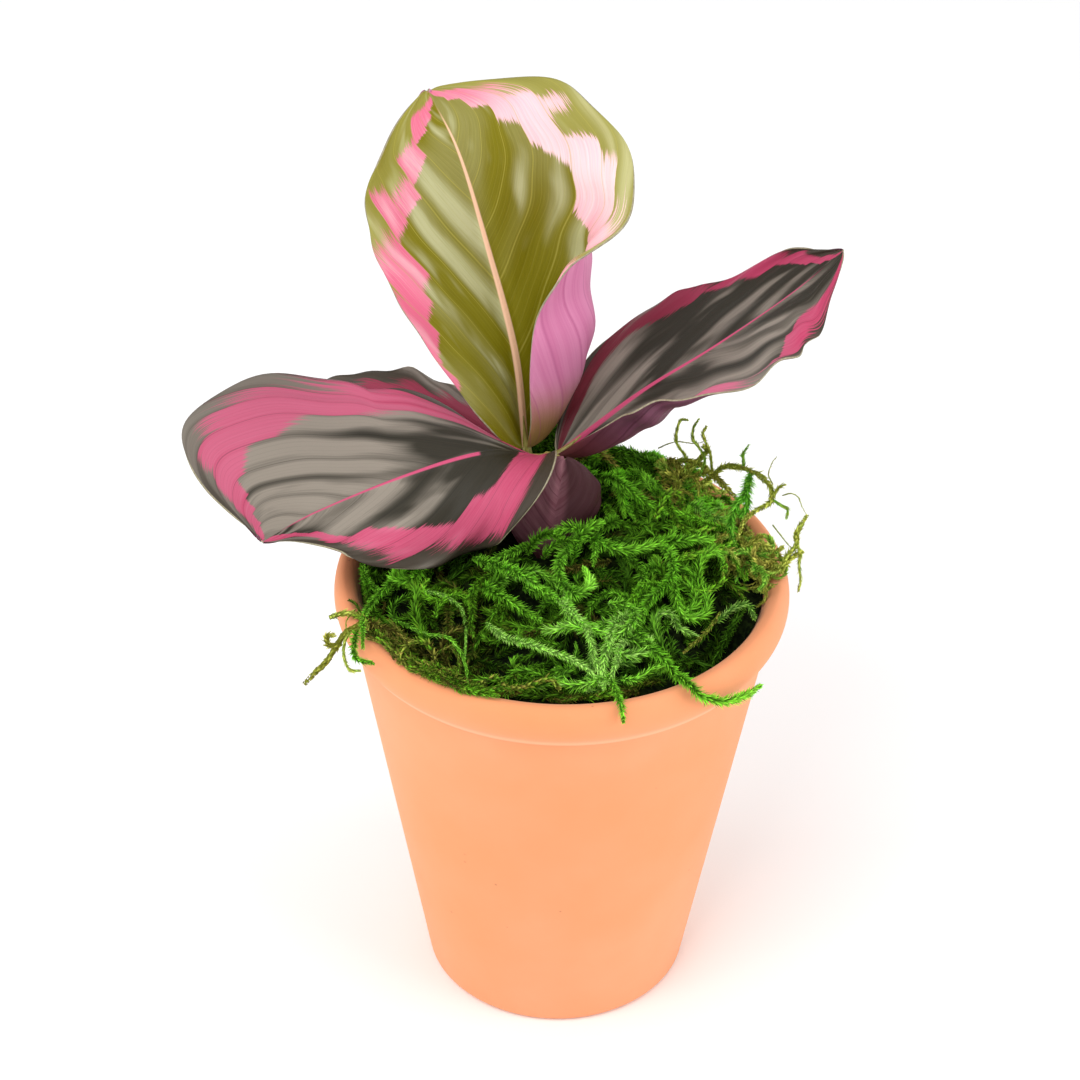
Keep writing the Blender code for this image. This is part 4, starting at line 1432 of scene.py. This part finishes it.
    def tangle(self, dry: bpy.types.Material) -> None:
        """The knots of dry, curled moss at the right."""
        bundle = Fronds(self.rng)
        for centre, spread, count in self.tangles:
            for route in self.free_routes(count, self.curl, centre, spread):
                kind = (RAGGED, WIRY, THREAD)[int(self.rng.choice(3, p=(0.6, 0.25, 0.15)))]
                # Painted light of the dry curls, at random.
                bundle.grow(route, kind, self.rng.uniform(0.1, 0.95), samples=16, sides=4,
                            light=self.rng.uniform(0.6, 1.2))
        bundle.join(self.plant, "tangled_dry_moss", "dry_moss", dry, ("moss_bed",))

    def strands(self, green: bpy.types.Material, dry: bpy.types.Material) -> None:
        """The strands that stand clear of the bed."""
        for name, node, skin, slot, members in STRANDS:
            bundle = Fronds(self.rng)
            for places, kind, tint in members:
                route = self.mound.route(places)
                route = route + self.rng.normal(0.0, 0.22, route.shape)
                # Painted light, lower on the bract.
                bundle.grow(route, kind, tint, samples=26, sides=5, light=0.6 if kind is BRACT else 0.95)
            bundle.join(self.plant, name, slot, green if skin is MOSS_SKIN else dry, (node,))

    def build(self) -> None:
        """Make the whole bed."""
        green, dry = MOSS_SKIN.material(), DRY_SKIN.material()
        self.mat()
        self.fronds(green)
        self.tangle(dry)
        self.strands(green, dry)


# Fronds that lie where a random one would not: their points, kind, tint and painted light.  A
# point is (x, y, height), over the mound, or over the floor where it is above 100.
LAID_FRONDS = (
    (((-23, -12, 1), (-17, -16, 1.8), (-13, -20, 2), (-9, -23, 2.2), (-5, -25.5, 2), (0, -30, 1.6)),
      PLUME, 0.66, 1),
    (((-1, -29, 1.8), (3, -34, 2), (6, -37, 2.2), (7.5, -41, 2.2), (9, -46, 1.6), (11, -51, 0.6)),
      CRISP, 0.97, 1.7),
    (((-19, -34, 1), (-14, -39, 1.6), (-9, -41.5, 2), (-4, -43, 2), (2, -45, 2), (7, -47.5, 1.4),
      (11, -51.5, 0.4)), CRISP, 0.92, 1.6),
    (((7, -5, 0.5), (4, -9, 2), (0, -15, 2.4), (-1, -20, 2.4), (1, -25, 2.2), (4, -28, 2), (7, -25, 2),
      (7, -20, 1.6), (5.5, -16, 1)), PLUME, 0.7, 1),
    (((26, -3, 0.5), (28, -10, 2), (28.5, -15, 2.6), (27, -19, 2.6), (24, -23, 2.2), (21.5, -27, 2),
      (20, -33, 1)), PLUME, 0.64, 1),
    (((20, -30, 1), (15.5, -32, 1.8), (13, -36, 2.2), (12, -41, 2), (10.5, -46, 1.6), (11, -51, 0.5)),
      PLUME, 0.92, 1.4),
    (((18, -36, 1), (15, -41, 1.8), (14, -45, 1.6), (12, -50, 0.6)), CRISP, 0.95, 1.6),
    (((6, -4, 1), (10, -9, 2), (14, -10.5, 2.2), (19, -9, 2.2), (24, -5, 2), (28, -2, 1)),
      PLUME, 0.62, 1),
    (((7, 1, 1), (8, -5, 2), (8.5, -10, 2), (8, -15, 1)), CRISP, 0.6, 0.9),
    (((-21, -20, 0.6), (-18, -25, 1.4), (-14, -28, 1.6), (-10, -30, 1.4), (-5, -34, 0.5)),
      PLUME, 0.58, 0.85),
    (((24, -28, 1), (28, -27, 2), (30, -30, 2), (35, -27, 1)), CRISP, 0.86, 0.9),
    (((41, -19, 1.4), (38, -24, 2), (35, -29, 2), (31, -36, 0.6)), WIRY, 0.08, 0.95),
    (((-9, -8, 1), (-12, -12, 1.8), (-16, -13.5, 1.8), (-20, -16, 0.8)), CRISP, 0.62, 0.9),
    (((15, -48.5, 1), (19, -48.5, 1.6), (23, -45, 1.6), (28, -41, 0.6)), CRISP, 0.7, 0.9),
    (((-42, -11, 1), (-45, -15, 1.6), (-48, -18, 1.8), (-50, -23, 1.8), (-50.5, -29, 1.6),
      (-50, -37, 0.6)), CRISP, 0.64, 1),
    (((-52.5, -1, 0.6), (-51.5, -7, 1.4), (-50, -11, 1.4), (-47, -15, 0.8)), CRISP, 0.6, 0.9),
    (((-43, -26, 0.8), (-38, -31, 1.8), (-34, -34.5, 2), (-29, -37, 2), (-26, -40, 1.8),
      (-24, -44, 1.4), (-23, -50, 0.4)), WIRY, 0.7, 1),
    (((-37, -20, 0.8), (-32, -23, 2), (-28.5, -25.5, 2.2), (-25.5, -30, 2.2), (-24, -35, 1.8),
      (-24, -42, 0.8)), WIRY, 0.84, 1),
    (((-31, -43, 131), (-33, -38.5, 134), (-36.5, -37, 134.4), (-39.5, -39, 133.4), (-39.5, -42, 132),
      (-36, -45, 131.2), (-31.5, -45, 131)), RAGGED, 0.12, 0.8),
    (((-37, -42, 131.4), (-31.5, -47, 131.6), (-26.5, -50.5, 131.4), (-21, -53, 131.2),
      (-15, -54.5, 131)), CRISP, 0.3, 1.0),
    (((-50, -25, 1), (-46, -29, 1.6), (-41, -32, 1.6), (-37, -37, 0.6)), FEATHERY, 0.05, 0.7),
    (((-49, -31, 1), (-45, -34, 1.6), (-41, -37, 1.4), (-37, -42, 0.4)), FEATHERY, 0.1, 0.6),
    (((-31, -40, 1), (-28, -39.5, 1.8), (-25.5, -43, 1.6), (-26, -48, 1), (-30, -50, 0.6),
      (-33, -45, 1)), WIRY, 0.14, 0.6),
    (((-52, -28, 130.4), (-52.5, -34, 131), (-51.5, -40, 130.8), (-47, -42, 130.8)), CRISP, 0.5, 0.9),
    (((-20, -50, 0.4), (-16, -49, 1.4), (-13, -51.5, 0.6), (-8, -51.5, 1.2), (-3, -50, 1.4),
      (0, -52, 0.6)), RAGGED, 0.12, 0.8),
    (((12, -48, 1), (14, -52.5, 131.2), (15.2, -56.5, 130.8), (15.9, -59.6, 127.4)), CRISP, 0.6, 1),
    (((22, 49, 0.5), (26, 41, 1.6), (29, 31, 1.8), (34, 24, 1.8), (40, 22, 1.4), (46, 24, 0.4)),
      PLUME, 0.66, 1),
    (((28, -12.5, 2), (32, -9.5, 3), (37, -6, 2.6), (42, 0, 2.2), (46, 8, 1.4)), RAGGED, 0.3, 1),
    (((24, 4, 1.6), (26, 10, 4.4), (28, 16, 5), (31, 18, 3.8), (32, 14, 2)), RAGGED, 0.26, 1),
    (((27, 14, 3.6), (28.5, 7, 3), (31, 3, 2.4), (35, 3, 2.2), (39, 8, 2.2), (44, 11, 1.4)),
      RAGGED, 0.3, 1),
    (((31, -13, 1), (33, -16, 2), (37, -15.5, 2.2), (41.5, -12, 2.4), (42.5, -6, 2)), RAGGED, 0.26, 1),
    (((43, 2, 1), (45.5, -4, 2), (47.5, -8, 1.6), (48.5, -3, 1)), WIRY, 0.3, 0.9),
    (((40, -21, 0.6), (44, -18, 1.6), (48, -16, 1.4), (50, -19, 0.4)), CRISP, 0.9, 0.8),
    (((-7, 27, 138), (-6, 27.5, 145), (-5, 27, 151), (-4.6, 26.5, 156)), PLUME, 0.4, 0.35),
    (((-3, 26, 138), (-3, 27, 145), (-2.6, 26.5, 151), (-2.4, 26, 158)), PLUME, 0.45, 0.35),
    (((1, 28, 140), (0.5, 28, 146), (-0.4, 28, 151), (-1, 27.5, 155)), PLUME, 0.5, 0.5),
    (((-9.4, 28, 138), (-9, 28, 144), (-8.4, 28.5, 149), (-7.6, 28.5, 152)), PLUME, 0.4, 0.4),
    (((-3.4, 29, 142), (-3.6, 29, 148), (-3.4, 28.5, 153), (-2.6, 28.5, 158)), PLUME, 0.45, 0.4),
    (((-0.6, 29, 142), (-1, 29, 149), (-1.4, 28.5, 155), (-1.4, 28, 160)), PLUME, 0.5, 0.4),
    (((-6.8, 29.5, 140), (-6.6, 29.5, 146), (-6, 29, 151), (-5, 29, 155)), PLUME, 0.4, 0.4),
    (((40, 26, 1), (42, 21, 2), (43.5, 16, 2.4), (44.5, 10, 2.4), (44.5, 4, 1.4)), PLUME, 0.84, 1.5),
    (((33, 20, 1), (37, 17, 2), (41, 14, 2.2), (44, 9, 2), (45, 2, 1)), PLUME, 0.8, 1.5),
    (((30, 30, 1), (33, 26, 2), (36, 21, 2.2), (38, 15, 1.6), (37, 9, 0.6)), PLUME, 0.76, 1.4),
    (((34, -8, 0.6), (38, -5, 2.2), (41.5, -5, 2.2), (42, -10, 1)), CRISP, 0.66, 1),
    (((-9, -9.5, 142), (-7, -10.5, 147), (-4, -11, 149.6), (0, -11.5, 149)), PLUME, 0.5, 0.7),
    (((9, -8, 143), (6, -9.5, 149), (2, -10.5, 151.4), (-2, -11.5, 150.6)), PLUME, 0.55, 0.8),
    (((3, -12.5, 143), (3.5, -12, 147.5), (6, -10.5, 151), (10.5, -8.5, 152)), PLUME, 0.58, 0.85),
    (((-5, -13, 143), (-3, -12.5, 146.6), (1, -12, 148.4), (5, -12, 148)), CRISP, 0.5, 0.75),
)
# Strands clear of the bed: piece, the node that it stands for, skin, slot, and each strand's points,
# kind and tint.
STRANDS = (
    ("strand_over_the_rim", "hanging_moss_strand", MOSS_SKIN, "moss", (
        (((18, -34, 2), (21.5, -38.5, 2.2), (25, -42, 2.4), (28.5, -45.5, 132), (31.5, -49.5, 132),
          (35.6, -51.4, 129.7), (40.8, -47.6, 125.4), (44.3, -44.5, 123.4), (47.9, -40.8, 122.2),
          (51, -36.6, 122)), PLUME, 0.62),)),
    ("dry_frond_at_the_left", "dry_moss_frond_left", DRY_SKIN, "dry_moss", (
        (((-44, -22, -3), (-51, -26.5, 131), (-55, -29.8, 130.8), (-57.5, -31, 127), (-60, -31.5, 123),
          (-62.5, -31.5, 119.5), (-65.5, -31.5, 115)), BRACT, 0.3),
        (((-56, -30.6, 128), (-58.6, -31.2, 127.8), (-60, -31.4, 129.2), (-59.4, -31, 130.8),
          (-57.6, -30.6, 130.6)), RAGGED, 0.3),
        (((-59, -24, 131.6), (-56.5, -23.5, 132.2), (-54.5, -22, 131.6), (-50, -20, 130)), RAGGED, 0.5),
        (((-50, -27, 131), (-54, -30, 131), (-55, -33, 127), (-53.4, -36, 123.8), (-51, -37, 124.2)),
          WIRY, 0.6),
        (((-53, -20, 131.2), (-55, -26, 131.6), (-53, -33, 131.4), (-51, -39, 131)), THREAD, 0.6))),
    ("dry_curls_at_the_right", "dry_moss_curl_right", DRY_SKIN, "dry_moss", (
        (((33, 25, 1), (38, 25, 142), (41.5, 24, 146), (43.5, 23, 148), (47, 21, 149), (51, 18, 149.5),
          (54, 15, 148), (55, 12, 146.5), (54, 10, 145.5), (50.5, 8.5, 143.4), (47.5, 7, 141.5),
          (46, 4, 138)), RAGGED, 0.45),
        (((48, 20.5, 149), (47, 21, 151.5), (47.2, 21, 154), (48.7, 20, 157)), WIRY, 0.9),
        (((54.5, 14.5, 148), (54, 15, 151.5), (54.5, 15, 155.5), (55.7, 14, 157.5)), THREAD, 0.4),
        (((55, 12, 146.5), (56.5, 12, 149), (57.7, 11, 151)), WIRY, 0.5),
        (((55.5, 11, 146), (57.5, 10, 145), (58.7, 9, 144), (58.7, 8, 142)), WIRY, 0.8),
        (((49.5, 19.5, 149), (48.4, 16, 147), (47.5, 13, 145), (45.5, 12, 143), (44.5, 8, 140),
          (44.5, 4, 137)), PLUME, 1.0),
        (((49, 18, 148.6), (48.6, 15, 146), (48.4, 12, 143.6), (47.4, 10, 141)), PLUME, 1.0),
        (((57.5, 10, 148), (59.5, 10, 148.6), (61.2, 9, 148), (62.8, 8, 146), (63.6, 7, 144)),
          THREAD, 0.5),
        (((57, -2, 131.8), (59.5, 1, 135), (61, 3, 137.5), (61.4, 4, 139.5), (62, 5.4, 141.6),
          (63.8, 7, 144)), RAGGED, 0.5),
        (((61, 3, 137.5), (62, 2, 135), (62.6, 1, 132.5), (62.6, 0, 128.5), (62, -1, 124.5)),
          WIRY, 0.6),
        (((57, -1, 132.6), (60, 1, 134.6), (63, 2.4, 136.4)), RAGGED, 0.4),
        (((55, 6, 141.5), (58, 4.4, 137.5), (60.6, 3, 135)), THREAD, 0.5),
        (((48, 5, 135), (51, 5, 136.4), (54, 5, 135), (56.5, 4, 133.4), (58.5, 2, 131.8),
          (58, 0, 131.2), (54.5, -2, 131.4), (50.5, -4, 131.6), (48.5, -4, 133.5)), RAGGED, 0.4),
        (((49, 2, 133), (51.5, 3, 133.8), (54.5, 2, 133.4), (56, 0, 132.2), (53.5, -1, 131.6),
          (50, -1, 132.6)), RAGGED, 0.5))),
    ("dry_curls_at_the_back", "dry_moss_curl_back", DRY_SKIN, "dry_moss", (
        (((26, 32, 1), (31, 30, 145), (32.5, 28.4, 147), (30.6, 30, 150), (30, 31, 151.5),
          (30, 32, 153.5), (30.8, 33, 155.4), (33, 33, 156.4)), WIRY, 0.6),
        (((36, 25, 143), (37.5, 26, 148), (35.5, 28, 151), (34.3, 29, 152.5), (34, 30, 155),
          (35.8, 30, 158.6)), WIRY, 0.75),
        (((39.5, 24, 144), (38.7, 26.4, 149), (37.4, 28, 152.5), (37, 29, 154.5), (37.7, 29, 156.6)),
          WIRY, 0.5),
        (((25.5, 36, 144.5), (28, 35, 147), (31, 33, 148.6), (35, 31, 150), (38, 30, 151.4)),
          THREAD, 0.5),
        (((28.5, 33, 141), (31, 31, 144), (34, 30, 144.5), (37, 28, 144.5), (39.5, 25, 144),
          (43, 19, 143)), RAGGED, 0.35),
        (((32, 28, 141), (34.5, 28, 143.6), (36.5, 28, 146.6), (38, 28, 149.4), (37, 28, 151)),
          RAGGED, 0.5),
        (((35, 26, 142.5), (38, 26, 145), (40, 23, 144.6), (43, 19, 144.4), (46, 15, 143)),
          RAGGED, 0.3))),
)


# ---------------------------------------------------------------- soil, roots and crown


@dataclass(frozen=True)
class Earth:
    """Peat, fine roots or a rhizome's skin: coarse grains with lighter fibres between them."""

    name: str
    dark: str
    body: str
    light: str
    grain_mm: float
    roughness: float = 0.9

    def material(self) -> bpy.types.Material:
        """Build the material."""
        soil = Surface(self.name, self.roughness, Specular_IOR_Level=0.1)
        where = soil.here()
        lumps = soil.node("TexVoronoi", {"Vector": where, "Scale": 1 / (self.grain_mm * MM)}, "Distance")
        fibre = soil.cloud(0.6 / (self.grain_mm * MM), 6.0, where, Distortion=1.2)
        both = soil.plus(lumps, 0.5, fibre)
        tone = soil.tones(both, (0.42, self.dark), (0.68, self.body), (0.95, self.light))
        return soil.finish(tone, both, 0.8, 0.5 * self.grain_mm)


# The mat's near-black colours are painted shade for the depths between the fronds.
SHADED_MAT = Earth("matted_moss_painted_shade", "030601", "091203", "1A260A", 1.3, 1.0)
EARTHS = {
    "potting_soil": Earth("peat_potting_mix", "120B08", "2E1E17", "5E4636", 1.6),
    "root_ball": Earth("fine_roots_in_peat", "2A1C14", "6A533C", "A08A66", 1.2),
    "rhizome_crown": Earth("rhizome_skin", "3E3A1C", "6E6C3C", "9A9460", 2.4, 0.6),
}


def main() -> None:
    """Build every piece of the potted plant in order."""
    logging.basicConfig(level=logging.INFO, format="%(message)s")
    plant = Plant()
    Studio().build(plant.axis)
    Pot(plant).build()
    finishes = {}
    for plan in LEAVES:
        for finish in (plan.skin, plan.underside, MARGIN_TISSUE, STALK_TISSUE):
            if finish.name not in finishes:
                finishes[finish.name] = finish.material()
    low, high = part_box("rhizome_crown")
    crown = Vector(((low.x + high.x) / 2, (low.y + high.y) / 2, high.z)) - plant.axis
    for plan in LEAVES:
        Leaf(plant, plan, finishes).build(crown / MM)
    MossBed(plant, [plan.shape.grid()["points"] for plan in LEAVES]).build()
    for node, earth in EARTHS.items():
        item = plant.frame["nodes"][node]
        item.data.materials.clear()
        item.data.materials.append(earth.material())
    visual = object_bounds()
    ({"cad": [list(corner) for corner in plant.cad_box],
               "visual": [list(corner) for corner in visual]})


if __name__ == "__main__":
    main()
